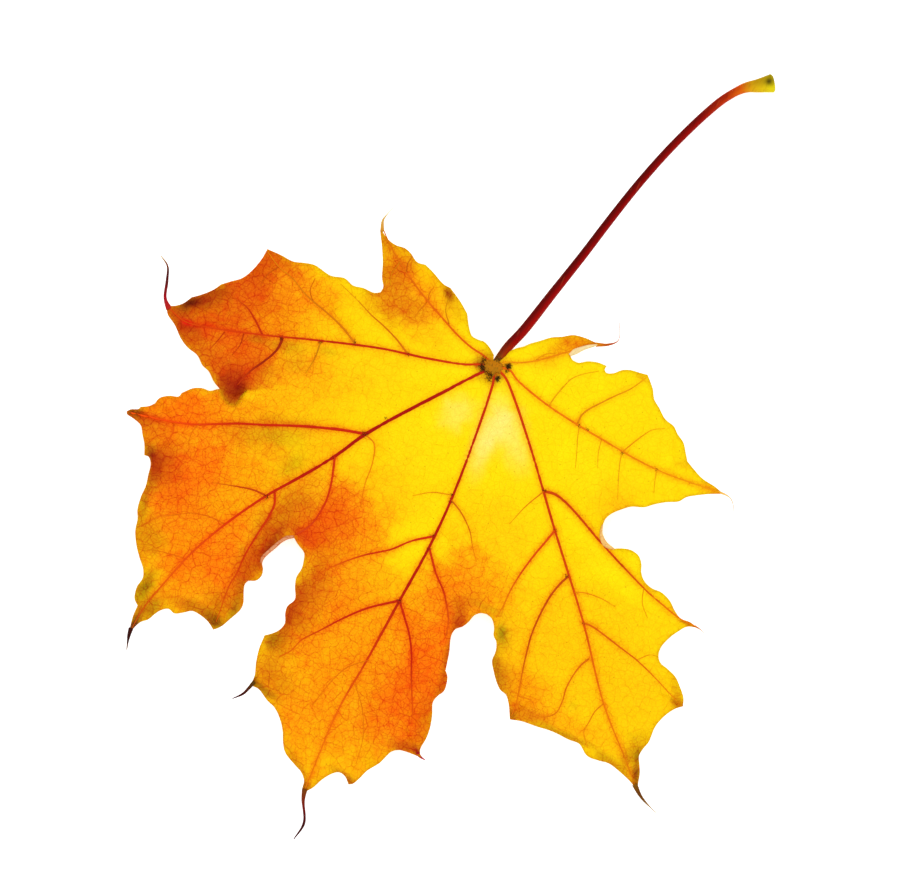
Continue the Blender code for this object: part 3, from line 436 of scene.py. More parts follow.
# The autumn colours lie on the blade as soft ovals, each over those before it: colour, centre, half
# length, half width, turn in degrees, strength, and its lobe where only one lobe takes it. The darkest
# ovals on the tooth that laps over the next lobe are painted shade, where two layers lie one on the other.
BASE_COLOUR = "ffe400"
OUTER_COLOUR = "ffd200"
OUTER_RADIUS = 90.0
PATCHES = [
    # right side and centre
    ("ff9c00", (14, -46), 9, 9, 0, 0.8), ("ff9a00", (18, -48), 8, 5, 0, 0.5),
    ("ffbc00", (29, -51), 10, 14, -40, 0.6), ("ff9a00", (34, -63), 9, 6, 0, 0.75),
    ("ffc800", (48, -51), 18, 12, -40, 0.75), ("ffcc00", (18, -36), 6, 6, 0, 0.5),
    ("ffe400", (45, -30), 9, 4.4, -20, 0.7), ("ffde00", (30, -12), 20, 14, 0, 0.6),
    ("f08a00", (14.5, 12), 6.5, 2.4, 35, 0.8), ("cc7400", (18.4, 13.3), 2.2, 1.0, 30, 0.7),
    ("f0a800", (11, 5.5), 3, 1.6, 35, 0.3), ("ffb400", (37.5, -17), 5, 5, 0, 0.6),
    ("ffa800", (47, -65.4), 11, 2.6, 0, 0.6), ("ffcc00", (14, -29), 8, 5, 0, 0.5),
    # left side of the centre
    ("ffcc00", (-14, -28), 9, 6, -30, 0.6), ("ffb400", (-27, -30), 6, 5, 45, 0.6),
    ("ffc000", (-17, 0), 6, 2.6, -15, 0.6), ("ffc600", (-30, -14), 20, 10, 20, 0.55),
    ("ffa400", (-40, -20), 11, 7, 20, 0.7), ("ff8e00", (-15, -43), 10, 8, 0, 0.85),
    ("ffa800", (-6, -47), 7, 7, 0, 0.4),
    # middle lobe
    ("ffa000", (-3, -72), 21, 30, 0, 0.9), ("ffe200", (0, -42.8), 5.8, 9.2, 0, 0.96),
    ("ff9e00", (-8, -88), 9, 8, 0, 0.6), ("ff7e00", (13, -62), 8, 15, 5, 0.9),
    ("fa6c00", (12, -77), 7.4, 12, 0, 0.88), ("ff8400", (6, -59), 4, 5, 0, 0.45),
    ("f87800", (-13, -60), 6, 10, 0, 0.4), ("ffa800", (-3, -62), 4, 7, 0, 0.5),
    # stalk lobe on the left
    ("ffa600", (-23, 8.5), 11, 5.5, -25, 0.85), ("e07c00", (-28, 9), 4.5, 6.5, 0, 0.9),
    ("e68600", (-23.5, 3.4), 6, 3.2, 15, 0.85), ("e89c00", (-13.5, 9), 4.5, 2, -35, 0.5),
    ("a04000", (-15.4, 10.6), 1.9, 0.8, -40, 0.8), ("d88200", (-32.5, 15.5), 3, 1.3, -35, 0.6),
    # side lobe on the left
    ("ffa200", (-44, -3), 10, 8, 0, 0.8), ("ff9a00", (-51, -6), 8, 8, 0, 0.55),
    ("ffae00", (-46, -11), 6, 3.4, 15, 0.75), ("ec6400", (-56, -5), 8.5, 9.5, 0, 0.9),
    ("e65a00", (-58, -16), 13, 8, 15, 0.9, "side_left"),
    ("f06c00", (-51, -20.6), 8, 6, 30, 0.85, "side_left"), ("d65200", (-56, -1), 3.5, 6, -10, 0.75),
    ("dc4c00", (-55, -24), 5, 2.8, -15, 0.7, "side_left"), ("fca000", (-48, -11.6), 5, 2.6, 15, 0.75),
    ("ee8400", (-48, -18), 2.8, 2.6, 0, 0.5, "side_left"), ("e06000", (-53.5, 2), 5, 1.8, 0, 0.7),
    ("a83400", (-64.5, -12.4), 6.0, 2.6, 40, 0.9),
    ("bc3a00", (-66, -19.4), 5, 3.0, -25, 0.85, "side_left"),
    ("641a00", (-66.4, -14.4), 2.6, 1.1, 40, 0.9), ("d85400", (-61, -22.6), 5, 1.6, -25, 0.6),
    ("ee4800", (-57, -16.2), 8, 0.6, 14, 0.3), ("f01410", (-65.5, -18.3), 1.6, 0.6, 5, 0.85),
    ("c8a400", (-43.5, -14.4), 4.0, 1.4, 15, 0.55), ("d0b400", (-34.5, -11.6), 2.6, 1.1, 15, 0.45),
    ("d89a00", (-39.5, -17), 3, 2.4, 0, 0.35), ("c07c00", (-50, -15.4), 2.2, 0.9, 10, 0.6),
    ("d06800", (-46, -21.5), 3, 3, 0, 0.5, "side_left"),
    ("c44800", (-50, -24.5), 3.8, 2.6, 40, 0.45, "side_left"),
    ("e05400", (-49.2, -26.2), 5.0, 4.6, 20, 0.95, "side_left"),
    # Painted shade: the three dark red ovals below darken the lapped tooth where it lies over the lobe
    # beside it, two layers deep; under them is the tooth's own orange-red.
    ("ac3000", (-51, -27.4), 3.6, 2.4, -28, 0.95, "side_left"),
    ("a02600", (-49.2, -28.4), 2.6, 3.0, 10, 0.97, "side_left"),
    ("8a1400", (-48.6, -27.6), 1.1, 3.0, 15, 0.8, "side_left"),
    # wide lobe on the left
    ("ffae00", (-44, -30), 12, 4.4, 20, 0.75, "wide_left"),
    ("ff8600", (-58.6, -36), 12, 6.5, 10, 0.95, "wide_left"), ("ff8600", (-50, -46), 15, 11, 0, 0.95),
    ("ff9c00", (-37.4, -42), 7, 4, 0, 0.65), ("ffb800", (-38, -49.2), 5, 6.4, -20, 0.9),
    ("ffac00", (-42, -54.6), 4.5, 6, -30, 0.8), ("ff8a00", (-42, -66), 14, 13, 0, 0.95),
    ("fa7400", (-53, -54), 7, 7, 0, 0.8), ("f09000", (-43, -36), 6, 3.4, 15, 0.6, "wide_left"),
    ("ff7e00", (-36.4, -61), 4, 10, 0, 0.7), ("e09000", (-37, -31), 7, 2.6, 20, 0.6, "wide_left"),
    ("c8a400", (-38, -34), 6.5, 2.2, 15, 0.5), ("bcae00", (-31.6, -37.5), 2.0, 3.4, -25, 0.45),
    ("f6a000", (-36, -36.5), 4, 2.6, 10, 0.55), ("ec9800", (-46, -35.4), 4, 1.5, 20, 0.4),
    ("dc5c00", (-64, -43.4), 4.5, 2.8, 20, 0.65), ("c04800", (-66.6, -42.4), 3.6, 1.4, 10, 0.7),
    ("d47200", (-27, -44.8), 5.2, 3.0, 0, 0.6), ("f46e00", (-18.6, -45.4), 5.4, 7.6, 0, 0.85),
    ("f08000", (-27, -40), 4, 5, 0, 0.55), ("d45600", (-28, -50), 5, 4.5, 20, 0.8),
    ("ec5800", (-20.8, -51), 4.5, 4.3, 0, 0.8), ("dc3408", (-23.4, -50.9), 2.4, 1.2, -15, 0.7),
    ("c83e00", (-30.2, -58), 3.0, 8, -5, 0.95), ("922800", (-28.8, -56), 0.9, 4.5, -8, 0.6),
    ("d85e00", (-32, -64), 2.4, 6, 0, 0.7), ("8a2004", (-60.2, -48.4), 3.0, 1.7, -35, 0.9),
    ("a83400", (-58.6, -51.5), 2.0, 4.2, 5, 0.8), ("c84600", (-57, -48.6), 3.4, 5, 0, 0.65),
    ("b07000", (-58.0, -58.5), 1.1, 5, 8, 0.65), ("d48200", (-54.5, -65), 3.2, 4.6, 20, 0.65),
    ("9c7c00", (-50.6, -76), 1.7, 4.2, -10, 0.8), ("b07c00", (-47.6, -79), 2.2, 3.2, -20, 0.65),
    ("c46800", (-37, -75.4), 6, 1.6, 0, 0.8), ("7a5200", (-33, -76.2), 2.4, 1.5, -10, 0.85),
    ("9a7600", (-30.4, -71.5), 1.2, 3.2, 10, 0.7), ("c06000", (-30.6, -67), 1.5, 2.4, 0, 0.6),
    ("c47000", (-34, -72), 3, 3.4, 30, 0.5), ("7a4408", (-67.9, -41.2), 2.6, 0.9, 5, 0.9),
    ("e04800", (-63.5, -40.6), 3.4, 0.9, 8, 0.6), ("5e2008", (-48.9, -83.6), 1.1, 2.6, 0, 0.95),
    ("340a0a", (-49.3, -86), 0.8, 1.6, 0, 0.9),
    # margins of the middle lobe
    ("b83c00", (-18.6, -67), 2.4, 8, 0, 0.95), ("d66800", (-16.4, -63), 3.4, 10, 0, 0.65),
    ("a87000", (-19.8, -74.6), 1.8, 2.0, 20, 0.8), ("e09400", (-18.4, -78.6), 3, 4, 0, 0.45),
    ("8e6400", (-17.8, -85.2), 4.0, 0.9, -12, 0.8), ("dc8400", (-16, -82.5), 5, 3, -20, 0.6),
    ("6c4a00", (-20.1, -84.6), 0.9, 1.2, 0, 0.7), ("c44e00", (16.4, -54.8), 1.7, 4.5, 25, 0.85),
    ("c84400", (17.8, -64), 1.5, 9, 8, 0.85), ("a83400", (16.5, -60), 0.6, 4.5, 10, 0.6),
    ("e06000", (17.6, -78), 2.4, 6.5, 5, 0.7), ("c44c00", (16.6, -84.2), 3.6, 1.3, 10, 0.8),
    ("b00c14", (19.4, -84.2), 1.5, 0.7, -40, 0.95), ("b86408", (7, -95.6), 3.2, 0.9, -10, 0.85),
    ("a85800", (8.2, -96.4), 0.8, 0.7, 0, 0.7), ("c87400", (-4, -97), 4.5, 1.0, -35, 0.5),
    ("8e4800", (-0.4, -101.8), 1.4, 1.4, 0, 0.85), ("d88000", (15.4, -49.6), 4, 2.2, 45, 0.5),
    ("b89400", (20.8, -48.8), 3.6, 0.8, 0, 0.4),
    # margins of the wide lobe on the right
    ("c89a00", (26.2, -53.4), 2.0, 3.4, 25, 0.65), ("8c9400", (25.4, -52.5), 1.0, 1.5, 20, 0.7),
    ("b07400", (27.6, -60.4), 1.5, 5, 38, 0.8), ("dc9200", (30.2, -62.2), 2.6, 4.8, 50, 0.6),
    ("dc7800", (38, -66.6), 5, 1.5, 0, 0.75), ("a05000", (34.8, -68.2), 1.3, 1.1, 0, 0.9),
    ("c89400", (47, -67.5), 7, 0.7, 0, 0.75), ("c0a000", (57, -68.4), 2.2, 1.0, 0, 0.5),
    ("cc9400", (62.4, -65), 2.2, 4.6, -10, 0.65), ("7c5400", (63.9, -65), 0.8, 1.8, 8, 0.7),
    ("945800", (65.4, -69.6), 1.0, 3, 25, 0.85), ("d08c00", (60, -69.4), 4, 0.9, -10, 0.6),
    ("c07000", (67, -51), 1.7, 1.1, -35, 0.75), ("dc9c00", (65.6, -48.6), 2.6, 0.9, -50, 0.6),
    ("c05c00", (63, -34), 2.6, 0.5, 0, 0.85), ("c8b800", (46.4, -61), 1.4, 1.0, 0, 0.3),
    # side lobe on the right
    ("e09c00", (30.5, 11.2), 1.8, 0.7, -20, 0.5), ("f0b000", (47, -2.4), 2, 1, 30, 0.4),
    ("f0a400", (55.5, -5), 3, 0.6, 0, 0.5),
    # pale yellow ovals by the junction, and the brown ring round it
    ("fff488", (7, -10), 4.8, 3.4, -40, 0.6), ("fff488", (5.2, -16), 2.2, 6, 5, 0.55),
    ("fff070", (12, -15), 4.4, 2.6, -45, 0.4), ("fff070", (-3, -12.5), 3, 3.4, 0, 0.45),
    ("bc6400", (-0.6, -0.4), 3.6, 3.0, 0, 0.8), ("9a5c08", (-2.6, -0.6), 1.6, 1.2, 0, 0.7),
    ("7a4a10", (1.9, -2.1), 0.9, 1.1, 0, 0.6), ("4a3010", (3.2, 1.4), 0.8, 0.7, 0, 0.6),
]
OVAL_FALL = 2.6          # how sharply an oval ends
DRIFT_LENGTHS = (13.0, 4.4)
DRIFT_WAVES = np.random.default_rng(5).normal(size=(2, 3, 10, 3))
RIM_DRIFT = 0.13         # an oval's rim strays by this share of its smaller half size
SHARE_DRIFT = 0.09
GLOW_TINT = np.array([0.95, 0.38, 0.25])    # how the red of a vein tints the blade beside it
GLOW_REACH = 0.85
RIB_GLOW = 0.55
SIDE_VEIN_GLOW = 0.8
GLOWING_WIDTHS = (0.04, 0.26)               # a side vein's half width where its glow starts, is full
EDGE_COLOUR = "c89600"
EDGE_REACH = 0.42
EDGE_SHARE = 0.5
EDGE_GREEN = 4           # red tissue has no dull edge: its share grows with the green, up to a quarter
UNDERSIDE = "f3dfae"
UNDERSIDE_SHARE = 0.55


def blade_tint(points, lobe):
    """The blade's colour: yellow to gold outwards, the ovals in turn, the veins' glow, the dull edge.

    An oval's share is strength * exp(-reach to the 2.6), its rim and strength straying by the drift.
    """
    stray_x, stray_y, stray_share = sum(map(partial(ripples, points), DRIFT_WAVES, DRIFT_LENGTHS))
    out = np.clip(np.hypot(points[:, 0], points[:, 1]) / OUTER_RADIUS, 0, 1)[:, None]
    colour = ink(BASE_COLOUR) * (1 - out) + ink(OUTER_COLOUR) * out
    for shade, centre, length, width, turn, strength, *only in PATCHES:
        if only and lobe not in only:
            continue
        stray = RIM_DRIFT * min(length, width)
        x, y = points[:, 0] - centre[0] + stray * stray_x, points[:, 1] - centre[1] + stray * stray_y
        c, s = math.cos(math.radians(turn)), math.sin(math.radians(turn))
        reach = np.hypot((x * c + y * s) / length, (y * c - x * s) / width)
        share = strength * np.exp(-(reach**OVAL_FALL)) * (1 + SHARE_DRIFT * stray_share)
        share = share.clip(0, 1)[:, None]
        colour = colour * (1 - share) + ink(shade) * share
    to_rib, (to_vein, sample) = nearest(points, RIB_SAMPLES)[0], nearest(points, VEIN_SAMPLES)
    strength = SIDE_VEIN_GLOW * step_share(VEIN_WIDTHS[sample], *GLOWING_WIDTHS)
    for glow in (RIB_GLOW * bell(to_rib, GLOW_REACH), strength * bell(to_vein, GLOW_REACH)):
        colour = colour * (1 - glow[:, None]) + colour * GLOW_TINT * glow[:, None]
    edge = EDGE_SHARE * bell(nearest(points, WHOLE_MARGIN)[0], EDGE_REACH)[:, None]
    edge = edge * (colour[:, 1:2] * EDGE_GREEN).clip(0, 1)
    return colour * (1 - edge) + ink(EDGE_COLOUR) * edge


def inside(points, loop, block=1500):
    """Whether each point is in the closed loop: a line to its right crosses it an odd number of times."""
    a, b = loop, np.roll(loop, -1, axis=0)
    rise = np.where(b[:, 1] == a[:, 1], 1, b[:, 1] - a[:, 1])
    found = []
    for some in np.array_split(points, len(points) // block + 1):
        x, y = some[:, 0:1], some[:, 1:2]
        spans = (a[:, 1] > y) != (b[:, 1] > y)
        crossing = a[:, 0] + (y - a[:, 1]) * (b[:, 0] - a[:, 0]) / rise
        found.append((spans & (x < crossing)).sum(axis=1) % 2 == 1)
    return np.concatenate(found)


def seam(lobe, sinus):
    """The bent line from the junction to the sinus before a lobe, or to the leaf's base after the last."""
    stops = [(0, 0), *([SEAM_BENDS[lobe]] if lobe in SEAM_BENDS else []), tuple(sinus)]
    runs = [smooth([start, end], SEAM_STEP)[:-1] for start, end in zip(stops, stops[1:])]
    return np.vstack([*runs, [sinus]])


def lobe_sheet(name, after):
    """One lobe as flat triangles: its loop filled with a triangular lattice, joined by Delaunay's rule.

    A lobe's toothed outline folds back on itself, which no grid of two parameters can follow.
    """
    margin = MARGINS[name]
    to_start, to_end = seam(name, margin[0]), seam(after, margin[-1])
    loop = np.vstack([to_start[:-1], margin, to_end[-2:0:-1]])
    corner, far = loop.min(axis=0), loop.max(axis=0)
    row = LATTICE_STEP * math.sqrt(0.75)
    x, y = np.meshgrid(np.arange(corner[0], far[0], LATTICE_STEP), np.arange(corner[1], far[1], row))
    x[1::2] += LATTICE_STEP / 2
    lattice = np.stack([x.ravel(), y.ravel()], axis=1)
    lattice = lattice[inside(lattice, loop)]
    lattice = lattice[nearest(lattice, loop)[0] > LATTICE_STEP * LATTICE_GAP]
    flat = np.vstack([loop, lattice])
    found = delaunay_2d_cdt(flat.tolist(), [], [list(range(len(loop)))], 1, 1e-4)
    points = np.array([tuple(p) for p in found[0]])
    to_lines = np.minimum(nearest(points, to_start)[0], nearest(points, to_end)[0])
    return points, np.array(found[2]), to_lines < ON_SEAM


def sewn_blade():
    """The lobes' sheets sewn along their seams: flat points, heights, colours and upward triangles."""
    flat, owner, faces, heights, colours = [], [], [], [], []
    names = list(LOBES)
    for number, (name, after) in enumerate(zip(names, names[1:] + [None]), 1):
        points, triangles, shared = lobe_sheet(name, after)
        faces.append(triangles + sum(len(p) for p in flat))
        flat.append(points)
        owner.append(np.where(shared, 0, number))
        heights.append(np.where(shared, height(points), height(points, name)))
        colours.append(blade_tint(points, name))
    flat, owner, heights, colours, faces = map(np.concatenate, (flat, owner, heights, colours, faces))
    key = np.column_stack([np.round(flat, 3), owner])
    _, first, index = np.unique(key, axis=0, return_index=True, return_inverse=True)
    faces = index.reshape(-1)[faces]
    a, b, c = (flat[first][faces[:, k]] for k in range(3))
    up = (b - a)[:, 0] * (c - a)[:, 1] - (b - a)[:, 1] * (c - a)[:, 0] > 0
    return flat[first], heights[first], colours[first], np.where(up[:, None], faces, faces[:, ::-1])


def new_piece(name, points, faces, tint, material):
    """A mesh piece from points in leaf millimetres, its faces, a colour for each point, a material."""
    mesh = bpy.data.meshes.new(name)
    mesh.from_pydata((points * MM + JUNCTION).tolist(), [], [list(map(int, face)) for face in faces])
    colour = np.column_stack([tint, np.ones(len(tint))]).astype(np.float32)
    mesh.attributes.new("tint", "FLOAT_COLOR", "POINT").data.foreach_set("color", colour.ravel())
    mesh.materials.append(material)
    mesh.shade_smooth()
    piece = bpy.data.objects.new(name, mesh)
    bpy.context.scene.collection.objects.link(piece)
    return piece


class Wire:
    """A shader socket. Arithmetic on it adds Math nodes, and add() makes any other node."""

    def __init__(self, tree, socket=None):
        self.tree = tree
        self.socket = socket

    def add(self, kind, settings=None, inputs=None, output=0):
        """A node of this kind: its settings first, then its sockets' values or links."""
        node = self.tree.nodes.new(kind)
        for name, value in (settings or {}).items():
            setattr(node, name, value)
        for name, value in (inputs or {}).items():
            if isinstance(value, Wire):
                self.tree.links.new(value.socket, node.inputs[name])
            else:
                node.inputs[name].default_value = value
        return Wire(self.tree, node.outputs[output])

    def math(self, operation, first, second):
        """A Math node: this operation on two values or sockets."""
        return self.add("ShaderNodeMath", {"operation": operation}, {0: first, 1: second})

    def __add__(self, other):
        return self.math("ADD", self, other)

    def __sub__(self, other):
        return self.math("SUBTRACT", self, other)

    def __rsub__(self, other):
        return self.math("SUBTRACT", other, self)

    def __mul__(self, other):
        return self.math("MULTIPLY", self, other)

    __radd__ = __add__
    __rmul__ = __mul__


def blend(wire, first, second, share, how="MIX"):
    """Two colours mixed by a share, or the first multiplied by the second by that share."""
    colours = [c if isinstance(c, Wire) else (*c, 1.0) for c in (first, second)]
    settings = {"data_type": "RGBA", "blend_type": how}
    return wire.add("ShaderNodeMix", settings, {0: share, 6: colours[0], 7: colours[1]}, output=2)


def stain(wire, colour, tint, share):
    """A colour multiplied by a tint by that share."""
    return blend(wire, colour, tint, share, "MULTIPLY")


def step(wire, value, start, end):
    """A smooth rise from 0 at start to 1 at end."""
    settings = {"interpolation_type": "SMOOTHSTEP"}
    inputs = {"Value": value, "From Min": start, "From Max": end}
    return wire.add("ShaderNodeMapRange", settings, inputs)


def noise(wire, place, size, detail=3.0):
    """Soft noise with features about this many millimetres across, around one half."""
    inputs = {"Vector": place, "Scale": 1 / (size * MM), "Detail": detail}
    return wire.add("ShaderNodeTexNoise", None, inputs)


def cells(wire, place, scale, **settings):
    """Voronoi cells, this many to the metre: the distance to the nearest centre, or to an edge."""
    settings = {"feature": "F1", **settings}
    return wire.add("ShaderNodeTexVoronoi", settings, {"Vector": place, "Scale": scale})


def vein_net(wire, place, size, line):
    """A net of Voronoi cells this many millimetres wide: 1 on its lines, 0 off them."""
    edge = cells(wire, place, 1 / (size * MM), feature="DISTANCE_TO_EDGE", voronoi_dimensions="2D")
    return 1 - step(wire, edge, line * 0.3 / size, line / size)


def finish(material, wire, colour, roughness, bump, bump_depth):
    """Feeds a material's shader: colour, roughness and a bump this many millimetres deep."""
    shader = material.node_tree.nodes["Principled BSDF"]
    inputs = {"Height": bump, "Distance": bump_depth * MM, "Strength": 1.0}
    normal = wire.add("ShaderNodeBump", None, inputs)
    for socket, source in (("Base Color", colour), ("Roughness", roughness), ("Normal", normal)):
        material.node_tree.links.new(source.socket, shader.inputs[socket])


def new_material(name, gloss):
    """A material with this specular level, a wire into its nodes, the place, and the points' tint."""
    material = bpy.data.materials.new(name)
    material.use_nodes = True
    material.node_tree.nodes["Principled BSDF"].inputs["Specular IOR Level"].default_value = gloss
    wire = Wire(material.node_tree)
    place = wire.add("ShaderNodeTexCoord", output="Object")
    tint = wire.add("ShaderNodeAttribute", {"attribute_name": "tint"}, output="Color")
    return material, wire, place, tint


# The net of fine veins, at three sizes: its cells' width, its lines' width, and its weight.
NET_SIZES = [(2.9, 0.19, 0.34), (1.4, 0.12, 0.36), (0.62, 0.09, 0.22)]
NET_STAIN = (0.78, 0.34, 0.16)     # what each layer multiplies the tint by
CLOUD_STAIN = (1.0, 1.14, 1.2)
MOTTLE_STAIN = (0.97, 0.72, 0.6)
GRAIN_STAIN = (0.9, 0.6, 0.4)
SPECK_STAIN = (0.35, 0.2, 0.08)
SWAY_SCALE = 260.0                 # the net's lines wander, this often to the metre
SWAY_REACH = 1.6                   # and this many millimetres
SPECK_SCALE = 190.0
LEAF_GLOSS = 0.04


def leaf_skin():
    """Painted tints, mottled, with the net of fine veins and dark specks, strongest where it is red."""
    material, wire, place, tint = new_material("leaf_skin", LEAF_GLOSS)
    sway = {"Vector": place, "Scale": SWAY_SCALE, "Detail": 2.0}
    sway = wire.add("ShaderNodeTexNoise", None, sway, "Color")
    sway = wire.add("ShaderNodeVectorMath", {"operation": "SUBTRACT"}, {0: sway, 1: (0.5, 0.5, 0.5)})
    sway = wire.add("ShaderNodeVectorMath", {"operation": "SCALE"}, {0: sway, "Scale": SWAY_REACH * MM})
    bent = wire.add("ShaderNodeVectorMath", {"operation": "ADD"}, {0: place, 1: sway})
    green = wire.add("ShaderNodeSeparateColor", None, {"Color": tint}, "Green")
    blush = 1 - step(wire, green, 0.12, 0.66)
    wide, middle, fine = (vein_net(wire, bent, size, line) * weight for size, line, weight in NET_SIZES)
    net = wide + middle + fine
    cloud, mottle, grain = noise(wire, place, 7.0), noise(wire, place, 1.7), noise(wire, place, 0.35, 2.0)
    colour = stain(wire, tint, CLOUD_STAIN, step(wire, cloud, 0.5, 0.75) * 0.6)
    colour = stain(wire, colour, MOTTLE_STAIN, step(wire, mottle, 0.46, 0.7) * (0.12 + blush * 0.9))
    colour = stain(wire, colour, GRAIN_STAIN, step(wire, grain, 0.45, 0.75) * (0.1 + blush * 0.8))
    colour = stain(wire, colour, NET_STAIN, net * (0.22 + blush * 1.15))
    specks = cells(wire, place, SPECK_SCALE, voronoi_dimensions="2D")
    colour = stain(wire, colour, SPECK_STAIN, (1 - step(wire, specks, 0.015, 0.04)) * 0.35)
    rough = 0.46 + mottle * 0.14 + net * 0.1
    bump = grain * 0.25 + mottle * 0.5 - net * 0.8
    finish(material, wire, colour, rough, bump, 0.09)
    return material


flat, rise, colours, triangles = sewn_blade()
LEAF_SKIN = leaf_skin()
half = BLADE_THICKNESS / 2
ends = np.concatenate([triangles[:, [0, 1]], triangles[:, [1, 2]], triangles[:, [2, 0]]])
_, at, count = np.unique(np.sort(ends, axis=1), axis=0, return_index=True, return_counts=True)
rim = ends[at[count == 1]]
below = len(flat)
walls = np.column_stack([rim[:, 1], rim[:, 0], rim[:, 0] + below, rim[:, 1] + below])
blade = new_piece(
    "blade",
    np.vstack([np.column_stack([flat, rise + half]), np.column_stack([flat, rise - half])]),
    [*triangles, *(triangles[:, ::-1] + below), *walls],
    np.vstack([colours, colours * (1 - UNDERSIDE_SHARE) + ink(UNDERSIDE) * UNDERSIDE_SHARE]),
    LEAF_SKIN,
)
blade.data.set_sharp_from_angle(angle=math.radians(SHARP_ANGLE))
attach(blade, "root")
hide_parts("maple_leaf")

# ---------------------------------------------------------------------------------------------
# Rolled margins: in three places the dry margin has rolled up and over, and shows the pale,
# silky underside of the same tissue. Each is a strip folded back along the blade's edge.
# ---------------------------------------------------------------------------------------------
ROLL_THICKNESS = 0.14
ROLL_HEIGHT = 0.55
ROLL_LEAN = 0.12         # how much higher the free edge ends than the fold
ROLL_FADE = 0.4          # how bluntly a roll ends
ROLL_STEPS = (40, 9)     # along it and across it
ROLLS = [  # the lobe, the fold along the margin, the free edge over the blade, the colour
    ("stalk_right", LOBES["stalk_right"][0],
     [(14.0, 9.3), (14.5, 10.6), (15.6, 11.7), (17.0, 12.8), (19.0, 13.9)], "f4dca0"),
    ("wide_left", LOBES["wide_left"][-1][3:],
     [(-29.3, -60.0), (-29.5, -58.8), (-29.0, -57.3), (-28.2, -55.5), (-27.4, -53.9), (-26.4, -52.4),
      (-24.9, -51.6)], "e0a074"),
    ("wide_right",
     [(36.1, -21.8), (36.4, -22.8), (36.9, -23.7), (37.6, -24.5), (38.5, -25.0), (40.6, -25.6)],
     [(35.9, -22.2), (36.1, -23.4), (36.6, -24.6), (37.4, -25.6), (38.6, -26.2), (40.6, -25.9)], "f4c878"),
]


def along_row(row, share):
    """A row of evenly spaced values, read at these shares of its length by straight lines."""
    return np.interp(share, np.linspace(0, 1, len(row)), row)


def slab(grid, thickness):
    """A closed strip from a grid of points: the grid moved half a thickness up and down, with walls."""
    rows, columns = grid.shape[:2]
    lift = np.array([0, 0, thickness / 2])
    points = np.vstack([(grid + lift).reshape(-1, 3), (grid - lift).reshape(-1, 3)])
    i, j = np.meshgrid(np.arange(rows - 1), np.arange(columns - 1), indexing="ij")
    corner = (i * columns + j).ravel()
    top = np.stack([corner, corner + 1, corner + columns + 1, corner + columns], axis=1)
    n = rows * columns
    number = np.arange(n).reshape(rows, columns)
    border = np.concatenate([number[0], number[1:, -1], number[-1, -2::-1], number[-2:0:-1, 0]])
    after = np.roll(border, -1)
    walls = np.stack([after, border, border + n, after + n], axis=1)
    return points, np.vstack([top, top[:, ::-1] + n, walls])


def rolled_margin(lobe, fold, free, shade):
    """One roll: across it runs half a turn, flat by (1 - cos) / 2, up by sin, fading at its ends."""
    along, across = (np.linspace(0, 1, steps) for steps in ROLL_STEPS)
    fold, free = (
        np.stack([along_row(line[:, k], along) for k in (0, 1)], axis=1)
        for line in (smooth(edge, 0.2) for edge in (fold, free))
    )
    share = (1 - np.cos(np.pi * across)) / 2
    flat = fold[:, None] + (free - fold)[:, None] * share[None, :, None]
    ground = height(flat.reshape(-1, 2), lobe).reshape(flat.shape[:2])
    arch = ROLL_HEIGHT * np.sin(np.pi * across) ** 0.8 + ROLL_LEAN * across
    fade = np.sin(np.pi * np.clip(along, 0.02, 0.98)) ** ROLL_FADE
    points, faces = slab(np.dstack([flat, ground + arch * fade[:, None]]), ROLL_THICKNESS)
    return points, faces, np.tile(ink(shade), (len(points), 1))


def gathered(made):
    """Several shapes' points, faces and tints put end to end as one."""
    points, faces, tints = zip(*made)
    starts = np.cumsum([0] + [len(some) for some in points])
    shifted = [np.asarray(face) + start for start, some in zip(starts, faces) for face in some]
    return np.vstack(points), shifted, np.vstack(tints)


def closed_piece(name, shape, material):
    """A piece from a closed shape's points, faces and tints, its faces turned out by recalculation."""
    piece = new_piece(name, *shape, material)
    mesh = bmesh.new()
    mesh.from_mesh(piece.data)
    bmesh.ops.recalc_face_normals(mesh, faces=mesh.faces)
    mesh.to_mesh(piece.data)
    mesh.free()
    return piece


rolls = gathered([rolled_margin(*roll) for roll in ROLLS])
rolled_margins = closed_piece("rolled_margins", rolls, LEAF_SKIN)
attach(rolled_margins, "root")
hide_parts("maple_leaf")

# ---------------------------------------------------------------------------------------------
# Main ribs and side veins: cords of tough vessels inside the blade, full of red pigment this
# late in the year. They lie almost flush above and stand out as round ridges below.
# ---------------------------------------------------------------------------------------------
RIB_LOOKS = {  # colours from the junction to the tip, and half widths in millimetres
    "stalk_left": (["d85000", "e06a00", "d87800"], [0.24, 0.22, 0.12]),
    "side_left": (["d03800", "c42800", "c02400", "d43c00", "e05000"], [0.28, 0.30, 0.28, 0.20, 0.14]),
    "wide_left": (["c02400", "a80c00", "a60a00", "b81800", "d83400", "e85c00", "c05000"],
                  [0.40, 0.44, 0.46, 0.38, 0.28, 0.22, 0.14]),
    "middle": (["cc3400", "bc2000", "b41600", "b41600", "cc3400", "e86800", "e88000"],
               [0.34, 0.32, 0.34, 0.38, 0.28, 0.20, 0.12]),
    "wide_right": (["d03c00", "c83400", "c83800", "d85000", "e87800", "d88000"],
                   [0.32, 0.32, 0.32, 0.26, 0.18, 0.12]),
    "side_right": (["e86000", "e87800", "e88400", "f0a000"], [0.26, 0.24, 0.18, 0.10]),
    "stalk_right": (["f0a000", "e88800", "e08000"], [0.18, 0.20, 0.12]),
}
RIB_DEPTH = (1.0, 0.18)      # how far a main rib stands out below, at the junction and at the tip
RIB_RISE = 0.11              # and above
SIDE_VEIN_GAIN = 1.3         # a side vein is this much wider where it forks off
SIDE_VEIN_DEPTH = 1.5        # its depth there, as a share of its half width
VEIN_STEP = 0.7
VEIN_SIDES = 10
VEIN_GLOSS = 0.06


